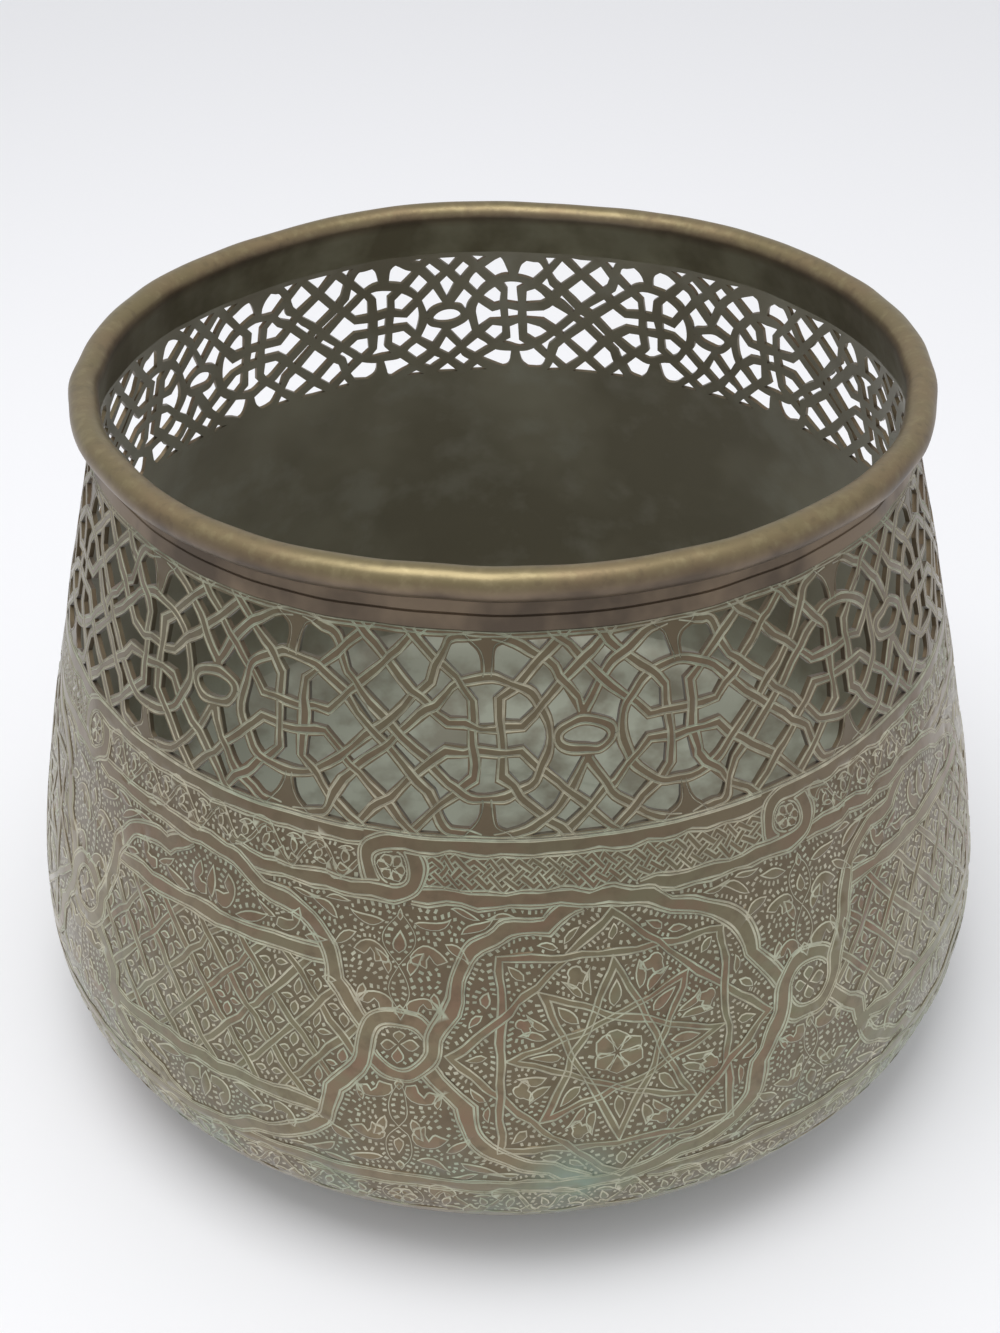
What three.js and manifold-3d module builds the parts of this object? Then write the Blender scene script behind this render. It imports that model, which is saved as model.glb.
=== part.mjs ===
// Pierced and engraved brass jardiniere: raised sheet wall, wired mouth edge and brazed base plate.
// Millimetres, +Z up, origin at the centre of the flat that the pot stands on. The front faces -Y.
import * as THREE from 'three';
import { mergeVertices } from 'three/addons/utils/BufferGeometryUtils.js';
import Module from 'manifold-3d';

// Outline of the wall, outside face
const neckRadius = 127.8;
const neckHeight = 237.3;
const neckLean = 0.262;
const bellyRadius = 170;
const bellyHeight = 53;
const turnRadius = 145;
const turnHeight = 15.6;
const footRadius = 84;

// Handles of the wall's three curves, as shares of the run or rise of each curve
const footPull = 0.33;
const footLift = 0.61;
const turnPull = 0.84;
const turnLift = 0.17;
const bellyDrop = 0.64;
const bellyPull = 0.16;
const neckPull = 0.44;

// Sheet metal
const wallThickness = 1.4;
const baseThickness = 1.6;
const brazeGap = 0.3;

// Mouth edge rolled outward over a wire
const wireRadius = 2.8;
const wireClearance = 0.5;
const rollSweepDegrees = 285;

// Pierced frieze: two roundels with a wide and a narrow field between them make one repeat
const repeats = 8;
const wideFieldShare = 0.511;
const friezeTurnDegrees = -1.85;
const friezeMiddle = 193.6;
const friezeHalfHeight = 27.3;
const strapWidth = 3.4;
const ringRadius = 16.9;
const knotHalfGap = 3.6;
const knotReach = 11;
const knotReachNarrow = 9.3;
const eyeHalfLength = 7.3;
const eyeHalfHeight = 4.4;
const finialHalfWidth = 6.5;
const tailStart = 16;
const tailEnd = 2;
const borderLand = 1.5;
const landHeight = friezeHalfHeight + borderLand;

// Where the strap to an eye bends, as shares of the narrow field and of the frieze's half height
const eyeBendAcross = 0.36;
const eyeBendUp = 0.7;

// The saw leaves what is smaller than its blade can turn in.
const smallestOpening = 22;
const sawCorner = 2.2;

// Facets
const turnSegments = 48;
const flankSteps = 3;
const footSteps = 2;
const underSteps = 3;
const rollSteps = 6;
const wireSides = 8;
const ringSteps = 4;
const eyeSteps = 10;

// Smallest length, area or angle that counts, and how near two corners are one
const tolerance = 1e-6;
const weldDistance = 1e-4;

// Bow that keeps corners of the drawing off one straight line, and turns allowed for evening it out
const drawingBow = 0.0005;
const mostPasses = 60;

const wasm = await Module();
wasm.setup();

function solidOf(geometry) {
  geometry.deleteAttribute('normal');
  geometry.deleteAttribute('uv');
  const merged = mergeVertices(geometry, weldDistance);
  return new wasm.Manifold(new wasm.Mesh({
    numProp: 3,
    vertProperties: new Float32Array(merged.attributes.position.array),
    triVerts: new Uint32Array(merged.index.array),
  }));
}

function geometryOf(corners, faces) {
  const geometry = new THREE.BufferGeometry();
  geometry.setAttribute('position', new THREE.BufferAttribute(new Float32Array(corners), 3));
  geometry.setIndex(new THREE.BufferAttribute(new Uint32Array(faces), 1));
  return geometry;
}

const at = (radius, height) => new THREE.Vector2(radius, height);

// Outside face of the wall as three curves, from the foot up to the neck
function wallCurves() {
  const flankRise = neckHeight - bellyHeight;
  const turnRise = bellyHeight - turnHeight;
  const turnRun = bellyRadius - turnRadius;
  const footRun = turnRadius - footRadius;
  return {
    foot: new THREE.CubicBezierCurve(
      at(footRadius, 0),
      at(footRadius + footRun * footPull, 0),
      at(turnRadius - footRun * footPull, turnHeight * footLift),
      at(turnRadius, turnHeight),
    ),
    turn: new THREE.CubicBezierCurve(
      at(turnRadius, turnHeight),
      at(turnRadius + turnRun * turnPull, turnHeight + turnRise * turnLift),
      at(bellyRadius, bellyHeight - turnRise * bellyDrop),
      at(bellyRadius, bellyHeight),
    ),
    flank: new THREE.CubicBezierCurve(
      at(bellyRadius, bellyHeight),
      at(bellyRadius, bellyHeight + flankRise * bellyPull),
      at(neckRadius + neckLean * flankRise * neckPull, neckHeight - flankRise * neckPull),
      at(neckRadius, neckHeight),
    ),
  };
}

const curves = wallCurves();

// Place along the flank at a height, from 0 at the belly to 1 at the neck
function flankAt(height) {
  let low = 0;
  let high = 1;
  while (high - low > tolerance) {
    const middle = (low + high) / 2;
    const isBelow = curves.flank.getPoint(middle).y < height;
    low = isBelow ? middle : low;
    high = isBelow ? high : middle;
  }
  return low;
}

const radiusAt = (height) => curves.flank.getPoint(flankAt(height)).x;

// The sheet follows the outside face and then curls outward round the wire.
function wallSection() {
  const outside = [];
  const inside = [];
  const follow = (curve, places) => {
    for (const place of places) {
      const spot = curve.getPoint(place);
      const way = curve.getTangent(place);
      outside.push(spot);
      inside.unshift(at(spot.x - way.y * wallThickness, spot.y + way.x * wallThickness));
    }
  };
  const evenly = (steps, end) => Array.from({ length: steps }, (_, step) => (end * (step + 1)) / steps);
  follow(curves.foot, [0, ...evenly(footSteps, 1)]);
  follow(curves.turn, evenly(underSteps, 1));
  follow(curves.flank, evenly(flankSteps, flankAt(friezeMiddle - landHeight)));
  const outerFoot = outside.length - 1;
  follow(curves.flank, [flankAt(friezeMiddle + landHeight), 1]);
  const hollow = wireRadius + wireClearance;
  for (let step = 1; step <= rollSteps; step += 1) {
    const angle = Math.PI - THREE.MathUtils.degToRad(rollSweepDegrees * step) / rollSteps;
    const ring = (radius) => at(
      neckRadius + hollow + radius * Math.cos(angle),
      neckHeight + radius * Math.sin(angle),
    );
    outside.push(ring(hollow));
    inside.unshift(ring(hollow + wallThickness));
  }
  const outline = [...outside, ...inside];
  return { outline, outerFoot, innerHead: outline.length - 2 - outerFoot };
}

// Flat drawing of the frieze: x runs round the pot in millimetres, y is the height above its middle.
const friezeRadius = radiusAt(friezeMiddle);
const repeatLength = (2 * Math.PI * friezeRadius) / repeats;
const wideField = repeatLength * wideFieldShare;
const narrowField = repeatLength - wideField;

// A flat shape as a plate one millimetre thick
function plate(outline, hole) {
  const shape = new THREE.Shape(outline);
  if (hole) shape.holes.push(new THREE.Path(hole));
  return solidOf(new THREE.ExtrudeGeometry(shape, { depth: 1, bevelEnabled: false }));
}

// A strap is a path with mitred sides.
function strap(path) {
  const lefts = [];
  const rights = [];
  path.forEach((point, i) => {
    const arrive = point.clone().sub(path[i - 1] ?? point).normalize();
    const leave = (path[i + 1] ?? point).clone().sub(point).normalize();
    const along = arrive.clone().add(leave).normalize();
    const half = strapWidth / 2 / along.dot(i > 0 ? arrive : leave);
    lefts.push(at(point.x - along.y * half, point.y + along.x * half));
    rights.unshift(at(point.x + along.y * half, point.y - along.x * half));
  });
  return [...lefts, ...rights];
}

// Slope of the lattice, so that straps from two roundels meet at the border
function latticeSlope(field, reach) {
  return (2 * friezeHalfHeight - knotReach - knotHalfGap) / (field - knotHalfGap - reach);
}

// Strap paths of one roundel at its own middle, with the wide field to the right
function roundelPaths() {
  const h = friezeHalfHeight;
  const past = strapWidth;
  const wideSlope = latticeSlope(wideField, knotReach);
  const narrowSlope = latticeSlope(narrowField, knotReachNarrow);
  const wideTop = knotHalfGap + (h - knotReach) / wideSlope;
  const narrowTop = knotHalfGap + (h - knotReach) / narrowSlope;
  const upright = (side, top) => [
    at(side * top, h + past),
    at(side * knotHalfGap, knotReach),
    at(side * knotHalfGap, -knotReach),
    at(side * top, -h - past),
  ];
  const level = (up) => [
    at(wideField - wideTop + past / wideSlope, up * (h + past)),
    at(knotReach, up * knotHalfGap),
    at(-knotReachNarrow, up * knotHalfGap),
    at(narrowTop - narrowField - past / narrowSlope, up * (h + past)),
  ];
  // Half of the ring, from its narrow side over the top, down the lattice and under the next roundel
  const lean = Math.atan(wideSlope);
  const ringHalf = (up) => {
    const path = [];
    for (let step = 0; step <= ringSteps; step += 1) {
      const angle = Math.PI - (Math.PI / 2 + lean) * (step / ringSteps);
      path.push(at(ringRadius * Math.cos(angle), up * ringRadius * Math.sin(angle)));
    }
    path.unshift(at(-ringRadius, -up * strapWidth));
    const flareDrop = (wideField - tailStart - ringRadius / Math.sin(lean)) * wideSlope;
    path.push(at(wideField - tailStart, -up * flareDrop));
    path.push(at(wideField - tailEnd, -up * (h + strapWidth / 2)));
    return path;
  };
  // From the border over the roundel down to the eye in the narrow field
  const eyeStrap = (up) => [
    at(-tailEnd, up * (h + strapWidth / 2)),
    at(-narrowField * eyeBendAcross, up * h * eyeBendUp),
    at(-narrowField / 2, up * eyeHalfHeight),
  ];
  return [
    upright(1, wideTop + past / wideSlope), upright(-1, narrowTop + past / narrowSlope),
    level(1), level(-1), ringHalf(1), ringHalf(-1), eyeStrap(1), eyeStrap(-1),
  ];
}

// A solid patch with hollowed sides joins each ring to the border above and below it.
function finialOutline(up) {
  const base = friezeHalfHeight + strapWidth;
  const waist = (base + ringRadius) / 2;
  return [
    at(-finialHalfWidth, up * base), at(-strapWidth / 2, up * waist), at(-strapWidth / 2, up * ringRadius),
    at(strapWidth / 2, up * ringRadius), at(strapWidth / 2, up * waist), at(finialHalfWidth, up * base),
  ];
}

function eyePlate(middle) {
  const oval = (grow) => Array.from({ length: eyeSteps }, (_, step) => {
    const angle = (2 * Math.PI * (step + 0.5)) / eyeSteps;
    return at(middle + (eyeHalfLength + grow) * Math.cos(angle), (eyeHalfHeight + grow) * Math.sin(angle));
  });
  return plate(oval(strapWidth / 2), oval(-strapWidth / 2));
}

// Every opening of one repeat as a flat outline
function openingOutlines() {
  const straps = [];
  for (let copy = -1; copy <= 1; copy += 1) {
    const first = copy * repeatLength;
    for (const [middle, mirror] of [[first, -1], [first + narrowField, 1]]) {
      const place = (points) => points.map((point) => at(middle + mirror * point.x, point.y));
      for (const path of roundelPaths()) straps.push(plate(strap(place(path))));
      for (const up of [1, -1]) straps.push(plate(place(finialOutline(up))));
    }
    straps.push(eyePlate(first + narrowField / 2));
  }
  const ends = [-repeatLength, 2 * repeatLength];
  const band = plate([
    at(ends[0], -friezeHalfHeight), at(ends[1], -friezeHalfHeight),
    at(ends[1], friezeHalfHeight), at(ends[0], friezeHalfHeight),
  ]);
  const openings = band.subtract(straps.reduce((whole, piece) => whole.add(piece))).decompose();
  return openings
    .filter((opening) => opening.volume() > smallestOpening)
    .map(outlineOf)
    .filter((outline) => pastSeam(outline, 0) && !pastSeam(outline, repeatLength));
}

// Whether an opening lies to the right of the seam that starts at a place
function pastSeam(outline, start) {
  const middle = outline.reduce((sum, point) => sum.add(point), at(0, 0)).divideScalar(outline.length);
  const height = Math.abs(middle.y);
  const share = Math.max(0, (height - knotReach) / (landHeight - knotReach));
  return middle.x > start + seam[1].x + share * (seam[0].x - seam[1].x);
}

// The upper face's border, walked round once
function outlineOf(solid) {
  const mesh = solid.getMesh();
  const onTop = (vertex) => mesh.vertProperties[vertex * mesh.numProp + 2] > 0.5;
  const nextOf = new Map();
  const inner = new Set();
  for (let i = 0; i < mesh.triVerts.length; i += 3) {
    const corners = [...mesh.triVerts.slice(i, i + 3)];
    if (!corners.every(onTop)) continue;
    corners.forEach((corner, k) => inner.add(`${corners[(k + 1) % 3]} ${corner}`));
  }
  for (let i = 0; i < mesh.triVerts.length; i += 3) {
    const corners = [...mesh.triVerts.slice(i, i + 3)];
    if (!corners.every(onTop)) continue;
    corners.forEach((corner, k) => {
      const next = corners[(k + 1) % 3];
      if (!inner.has(`${corner} ${next}`)) nextOf.set(corner, next);
    });
  }
  const start = nextOf.keys().next().value;
  const outline = [];
  let vertex = start;
  do {
    const place = vertex * mesh.numProp;
    outline.push(at(mesh.vertProperties[place], mesh.vertProperties[place + 1]));
    vertex = nextOf.get(vertex);
  } while (vertex !== start);
  return withoutSmallCorners(outline);
}

// The saw rounds over corners that stand out less than its own width.
function withoutSmallCorners(outline) {
  const points = [...outline];
  const cornerArea = (i) => {
    const before = points[(i + points.length - 1) % points.length];
    const after = points[(i + 1) % points.length];
    return Math.abs(points[i].clone().sub(before).cross(after.clone().sub(points[i]))) / 2;
  };
  while (points.length > 3) {
    const areas = points.map((_, i) => cornerArea(i));
    const least = Math.min(...areas);
    if (least > sawCorner) break;
    points.splice(areas.indexOf(least), 1);
  }
  return points;
}

// The sheet as rings of corners, one ring for each point of the section
const section = wallSection();
const cornersPerRepeat = turnSegments / repeats;
const seam = seamPath();
const seamAngle = (seam[0].x / friezeRadius) + THREE.MathUtils.degToRad(friezeTurnDegrees);

function ringCorners() {
  const corners = [];
  for (const point of section.outline) {
    for (let k = 0; k < turnSegments; k += 1) {
      const angle = seamAngle + (2 * Math.PI * k) / turnSegments;
      corners.push([point.x * Math.sin(angle), -point.x * Math.cos(angle), point.y]);
    }
  }
  return corners;
}

// A place of the flat drawing on the outside face or the inside face
function onSheet({ x, y }, copy, [foot, head]) {
  const angle = (x + copy * repeatLength) / friezeRadius + THREE.MathUtils.degToRad(friezeTurnDegrees);
  const share = (y + landHeight) / (2 * landHeight);
  const spot = foot.clone().lerp(head, share);
  return [spot.x * Math.sin(angle), -spot.x * Math.cos(angle), spot.y];
}

// One repeat of the fret is bounded by the middles of two like straps, which no opening meets.
function seamPath() {
  const [path] = roundelPaths();
  const share = (landHeight - knotReach) / (path[0].y - knotReach);
  const end = path[1].clone().lerp(path[0], share);
  return [
    at(-end.x, -landHeight),
    at(-path[2].x, path[2].y),
    at(-path[1].x, path[1].y),
    at(-end.x, landHeight),
  ];
}

const ringIndex = (ring, k) => (ring % section.outline.length) * turnSegments + (k % turnSegments);

// The plain sheet above and below the frieze
function ringFaces() {
  const faces = [];
  for (let ring = 0; ring < section.outline.length; ring += 1) {
    if (ring === section.outerFoot || ring === section.innerHead) continue;
    for (let k = 0; k < turnSegments; k += 1) {
      const [a, b] = [ringIndex(ring, k), ringIndex(ring, k + 1)];
      const [c, d] = [ringIndex(ring + 1, k + 1), ringIndex(ring + 1, k)];
      faces.push([a, b, c], [a, c, d]);
    }
  }
  return faces;
}

// The flat drawing of one repeat, filled with triangles
function fretDrawing() {
  const openings = openingOutlines();
  const contour = fretContour();
  const filled = THREE.ShapeUtils.triangulateShape(
    contour.map(bowed),
    openings.map((outline) => outline.map(bowed)),
  );
  const points = [...contour, ...openings.flat()];
  const bent = points.map(bowed);
  const facingUp = filled.map(([a, b, c]) => (
    doubleArea(bent[a], bent[b], bent[c]) < 0 ? [a, c, b] : [a, b, c]
  ));
  return { openings, triangles: evened(facingUp, points) };
}

// One face of the sheet between the foot ring and the head ring of the frieze
function fretSide(corners, drawing, footRing, headRing) {
  const ends = [section.outline[footRing], section.outline[headRing]];
  const add = (place) => corners.push(place) - 1;
  const seams = Array.from({ length: repeats }, (_, copy) => (
    [add(onSheet(seam[1], copy, ends)), add(onSheet(seam[2], copy, ends))]
  ));
  const faces = [];
  const holes = [];
  for (let copy = 0; copy < repeats; copy += 1) {
    const along = Array.from({ length: cornersPerRepeat + 1 }, (_, k) => copy * cornersPerRepeat + k);
    const border = [
      ...along.map((k) => ringIndex(footRing, k)), ...seams[(copy + 1) % repeats],
      ...along.map((k) => ringIndex(headRing, k)).reverse(), ...[...seams[copy]].reverse(),
    ];
    const cut = drawing.openings.map((outline) => outline.map((point) => add(onSheet(point, copy, ends))));
    const all = [...border, ...cut.flat()];
    for (const [a, b, c] of drawing.triangles) faces.push([all[a], all[b], all[c]]);
    holes.push(...cut);
  }
  return { faces, holes };
}

// The sawn sides of one opening through the sheet
function openingSides(outer, inner, clockwise) {
  return outer.flatMap((corner, k) => {
    const n = (k + 1) % outer.length;
    const [a, b] = clockwise ? [n, k] : [k, n];
    return [[outer[a], outer[b], inner[b]], [outer[a], inner[b], inner[a]]];
  });
}

function wallGeometry() {
  const corners = ringCorners();
  const drawing = fretDrawing();
  const outside = fretSide(corners, drawing, section.outerFoot, section.outerFoot + 1);
  const inside = fretSide(corners, drawing, section.innerHead + 1, section.innerHead);
  const sides = outside.holes.flatMap((outer, i) => {
    const clockwise = THREE.ShapeUtils.isClockWise(drawing.openings[i % drawing.openings.length]);
    return openingSides(outer, inside.holes[i], clockwise);
  });
  const turned = inside.faces.map(([a, b, c]) => [a, c, b]);
  return geometryOf(corners.flat(), [...ringFaces(), ...outside.faces, ...turned, ...sides].flat());
}

const doubleArea = (a, b, c) => b.clone().sub(a).cross(c.clone().sub(a));

// Angle at the first of three points
const angleAt = (a, b, c) => Math.acos(b.clone().sub(a).normalize().dot(c.clone().sub(a).normalize()));

// Neighbouring triangles swap the edge between them wherever that makes both less slender, so that
// none runs far along a border and cuts across the curve of the wall.
function evened(triangles, points) {
  const faces = triangles.map((triangle) => [...triangle]);
  for (let pass = 0; pass < mostPasses; pass += 1) {
    const owners = new Map();
    const changed = new Set();
    faces.forEach((face, index) => face.forEach((a, k) => owners.set(`${a} ${face[(k + 1) % 3]}`, index)));
    for (const [edge, index] of owners) {
      const [a, b] = edge.split(' ').map(Number);
      const other = owners.get(`${b} ${a}`);
      if (other === undefined || changed.has(index) || changed.has(other)) continue;
      const c = faces[index].find((corner) => corner !== a && corner !== b);
      const d = faces[other].find((corner) => corner !== a && corner !== b);
      const [pa, pb, pc, pd] = [a, b, c, d].map((corner) => points[corner]);
      if (Math.min(doubleArea(pa, pd, pc), doubleArea(pb, pc, pd)) < tolerance) continue;
      if (angleAt(pc, pa, pb) + angleAt(pd, pa, pb) < Math.PI + tolerance) continue;
      faces[index] = [a, d, c];
      faces[other] = [b, c, d];
      changed.add(index).add(other);
    }
    if (changed.size === 0) break;
  }
  return faces;
}

// Rows of corners on one straight line can't be filled with triangles, so the drawing is bowed for that.
function bowed({ x, y }) {
  const fromMiddle = x - seam[0].x - repeatLength / 2;
  const rise = drawingBow * (repeatLength * repeatLength - fromMiddle * fromMiddle);
  return at(x + drawingBow * y * y, y + Math.sign(y) * rise);
}

// The repeat's border: along the foot, up one seam, back along the head and down the other
function fretContour() {
  const edge = (up) => Array.from({ length: cornersPerRepeat + 1 }, (_, k) => (
    at(seam[0].x + (k / cornersPerRepeat) * repeatLength, up * landHeight)
  ));
  const shift = (point) => at(point.x + repeatLength, point.y);
  return [...edge(-1), shift(seam[1]), shift(seam[2]), ...edge(1).reverse(), seam[2], seam[1]];
}

function wireGeometry() {
  const reach = neckRadius + wireRadius + wireClearance;
  return new THREE.TorusGeometry(reach, wireRadius, wireSides, turnSegments).translate(0, 0, neckHeight);
}

function baseGeometry() {
  const radius = footRadius - brazeGap;
  const disc = new THREE.CylinderGeometry(radius, radius, baseThickness, turnSegments);
  return disc.rotateX(Math.PI / 2).translate(0, 0, baseThickness / 2);
}

const brass = { color: 0x6f5f43, metalness: 0.85, roughness: 0.5 };
const iron = { color: 0x4b4640, metalness: 0.9, roughness: 0.6 };

function part(name, geometry, finish) {
  const mesh = new THREE.Mesh(geometry, new THREE.MeshStandardMaterial(finish));
  mesh.name = name;
  return mesh;
}

const jardiniere = new THREE.Group();
jardiniere.add(part('pierced_wall', wallGeometry(), brass));
jardiniere.add(part('rim_wire', wireGeometry(), iron));
jardiniere.add(part('base_plate', baseGeometry(), brass));

export default jardiniere;
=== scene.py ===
import math

import bpy
import numpy as np
from mathutils import Matrix, Vector, kdtree
from mathutils.geometry import delaunay_2d_cdt


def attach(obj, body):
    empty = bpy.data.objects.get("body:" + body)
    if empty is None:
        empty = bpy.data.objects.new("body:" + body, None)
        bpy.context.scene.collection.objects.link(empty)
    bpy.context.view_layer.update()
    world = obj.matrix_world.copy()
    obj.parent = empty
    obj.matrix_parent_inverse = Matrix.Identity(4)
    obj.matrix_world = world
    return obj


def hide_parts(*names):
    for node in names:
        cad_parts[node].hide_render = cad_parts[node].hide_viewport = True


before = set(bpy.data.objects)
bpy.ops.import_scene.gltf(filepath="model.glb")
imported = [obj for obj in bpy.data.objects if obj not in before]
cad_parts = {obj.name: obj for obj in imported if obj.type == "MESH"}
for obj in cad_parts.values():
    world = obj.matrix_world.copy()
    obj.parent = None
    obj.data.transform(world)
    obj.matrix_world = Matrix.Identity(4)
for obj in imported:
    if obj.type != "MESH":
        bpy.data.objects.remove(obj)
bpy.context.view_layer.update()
print("frame loaded")

mm = 0.001

# The raised sheet in millimetres, with the same values as the solid model
pot = {
    "neckRadius": 127.8,
    "neckHeight": 237.3,
    "neckLean": 0.262,
    "bellyRadius": 170.0,
    "bellyHeight": 53.0,
    "turnRadius": 145.0,
    "turnHeight": 15.6,
    "footRadius": 84.0,
    "sheet": 1.4,
    # handles of its three curves, as shares of the run or rise of each curve
    "footPull": 0.33,
    "footLift": 0.61,
    "turnPull": 0.84,
    "turnLift": 0.17,
    "bellyDrop": 0.64,
    "bellyPull": 0.16,
    "neckPull": 0.44,
    "smoothDegrees": 28,         # a sharper edge than this stays sharp
}


def bezier(points, steps):
    t = np.linspace(0, 1, steps)[:, None]
    a, b, c, d = [np.array(point, float) for point in points]
    return (1 - t) ** 3 * a + 3 * (1 - t) ** 2 * t * b + 3 * (1 - t) * t * t * c + t ** 3 * d


def wallProfile():
    p = pot
    rise = p["neckHeight"] - p["bellyHeight"]
    turnRise = p["bellyHeight"] - p["turnHeight"]
    turnRun = p["bellyRadius"] - p["turnRadius"]
    footRun = p["turnRadius"] - p["footRadius"]
    foot = bezier([
        (p["footRadius"], 0),
        (p["footRadius"] + footRun * p["footPull"], 0),
        (p["turnRadius"] - footRun * p["footPull"], p["turnHeight"] * p["footLift"]),
        (p["turnRadius"], p["turnHeight"]),
    ], steps=150)
    turn = bezier([
        (p["turnRadius"], p["turnHeight"]),
        (p["turnRadius"] + turnRun * p["turnPull"], p["turnHeight"] + turnRise * p["turnLift"]),
        (p["bellyRadius"], p["bellyHeight"] - turnRise * p["bellyDrop"]),
        (p["bellyRadius"], p["bellyHeight"]),
    ], steps=150)
    flank = bezier([
        (p["bellyRadius"], p["bellyHeight"]),
        (p["bellyRadius"], p["bellyHeight"] + rise * p["bellyPull"]),
        (p["neckRadius"] + p["neckLean"] * rise * p["neckPull"], p["neckHeight"] - rise * p["neckPull"]),
        (p["neckRadius"], p["neckHeight"]),
    ], steps=400)
    upward = np.vstack([foot, turn[1:], flank[1:]])
    return upward[::-1]                                   # from the neck down to the foot


profile = wallProfile()
profileAlong = np.concatenate([[0], np.cumsum(np.hypot(*np.diff(profile, axis=0).T))])
profileWay = np.gradient(profile, profileAlong, axis=0)
wallLength = profileAlong[-1]


def alongAt(height):                                      # way down the wall from the neck to a height
    return np.interp(height, profile[::-1, 1], profileAlong[::-1])


def wallPoints(angle, along, depth):                      # places on the wall, depth under its outside
    radius = np.interp(along, profileAlong, profile[:, 0])
    height = np.interp(along, profileAlong, profile[:, 1])
    wayR = np.interp(along, profileAlong, profileWay[:, 0])
    wayZ = np.interp(along, profileAlong, profileWay[:, 1])
    size = np.hypot(wayR, wayZ)
    radius = radius + depth * wayZ / size
    height = height - depth * wayR / size
    return np.column_stack([radius * np.sin(angle), -radius * np.cos(angle), height])


def smoothStep(value, low, high):
    share = np.clip((value - low) / (high - low), 0, 1)
    return share * share * (3 - 2 * share)


# Unevenness of hand work
handWork = {
    "dents": 46,                 # number of waves that make up the hammer marks
    "dentDepth": 0.03,           # mm each
    "dentTurns": (3, 40),        # waves in one turn of the pot
    "dentRise": 0.16,            # most that a wave turns per mm of height
    "mouthOval": 0.6,            # mm that the mouth is out of round
    "mouthBuckle": 0.4,          # mm of shorter dents in the edge
    "mouthLift": 0.35,           # mm that the edge rises and falls
    "ovalFrom": 120,             # height from which the mouth's shape tells, and from which its dents do
    "buckleFrom": 190,
    "top": 240,
    "waver": 0.11,               # mm that each wave moves an engraved line
    "waverWaves": 26,
    "waverTurns": (12, 90),
    "waverRise": 0.5,
    "phase": 6.28,
    "seed": 7,
}
dice = np.random.default_rng(handWork["seed"])


def handWave(turns, rise, phases):                        # waves in a turn, their slant, and their phases
    return (int(dice.integers(*turns)), dice.uniform(-rise, rise),
            *[dice.uniform(0, handWork["phase"]) for phase in range(phases)])


dentWaves = [handWave(handWork["dentTurns"], handWork["dentRise"], 1) for wave in range(handWork["dents"])]
waverWaves = [handWave(handWork["waverTurns"], handWork["waverRise"], 2)
              for wave in range(handWork["waverWaves"])]


def beaten(points):                                       # the sheet as the hammer left it
    x, y, z = points.T
    angle = np.arctan2(x, -y)
    radius = np.hypot(x, y)
    swell = np.zeros(len(points))
    for turns, rise, phase in dentWaves:
        swell += handWork["dentDepth"] * np.cos(turns * angle + rise * z + phase)
    swell *= smoothStep(z, 1, 25)                         # the foot stands flat
    nearMouth = smoothStep(z, handWork["ovalFrom"], handWork["top"])
    atEdge = smoothStep(z, handWork["buckleFrom"], handWork["top"])
    swell += handWork["mouthOval"] * np.cos(2 * angle - 1.9) * nearMouth
    swell += handWork["mouthBuckle"] * np.cos(5 * angle + 2.1) * atEdge
    lift = handWork["mouthLift"] * np.cos(3 * angle + 0.6)
    lift += handWork["mouthBuckle"] * np.cos(7 * angle + 1.4)
    lift *= atEdge
    return np.column_stack([x * (1 + swell / radius), y * (1 + swell / radius), z + lift])


def wavered(angle, along):                                # lines drawn by hand wander a little
    du = np.zeros(len(angle))
    dw = np.zeros(len(angle))
    for turns, rise, phaseU, phaseW in waverWaves:
        wave = turns * angle + rise * along
        du += handWork["waver"] * np.cos(wave + phaseU)
        dw += handWork["waver"] * np.cos(wave + phaseW)
    return du, dw


# Drawing tools: paths are arrays of (u, w), u round the pot and w down the wall, in mm
def through(points, step=0.7):                            # a smooth curve through points
    points = np.array(points, float)
    padded = np.vstack([2 * points[0] - points[1], points, 2 * points[-1] - points[-2]])
    pieces = []
    for a, b, c, d in zip(padded, padded[1:], padded[2:], padded[3:]):
        count = max(2, int(math.ceil(math.dist(b, c) / step)))
        t = np.linspace(0, 1, count, endpoint=False)[:, None]
        pieces.append(0.5 * (2 * b + (c - a) * t + (2 * a - 5 * b + 4 * c - d) * t * t
                             + (3 * b - a - 3 * c + d) * t ** 3))
    pieces.append(points[-1:])
    return np.vstack(pieces)


def joined(*runs):                                        # curves that meet in a sharp corner
    pieces = [np.array(runs[0], float)]
    for run in runs[1:]:
        pieces.append(np.array(run, float)[1:])
    return np.vstack(pieces)


def arc(centre, radius, start, end, step=0.7):            # degrees, 0 to the right and 90 up
    count = max(3, int(math.ceil(abs(math.radians(end - start)) * radius / step)) + 1)
    angles = np.radians(np.linspace(start, end, count))
    return np.column_stack([centre[0] + radius * np.cos(angles), centre[1] - radius * np.sin(angles)])


def wayOf(path, closed=False):                            # unit direction before and after each point
    if closed:
        leave = np.roll(path, -1, 0) - path
        arrive = np.roll(leave, 1, 0)
    else:
        step = np.diff(path, axis=0)
        leave = np.vstack([step, step[-1:]])
        arrive = np.vstack([step[:1], step])
    leave = leave / np.maximum(np.hypot(*leave.T), 1e-9)[:, None]
    arrive = arrive / np.maximum(np.hypot(*arrive.T), 1e-9)[:, None]
    return arrive, leave


def beside(path, distance, closed=False):                 # a path at a distance to one side, mitred
    arrive, leave = wayOf(path, closed)
    along = arrive + leave
    along /= np.maximum(np.hypot(*along.T), 1e-6)[:, None]
    reach = np.maximum((along * leave).sum(1), 0.45)
    return path + np.column_stack([-along[:, 1], along[:, 0]]) * (distance / reach)[:, None]


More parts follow.
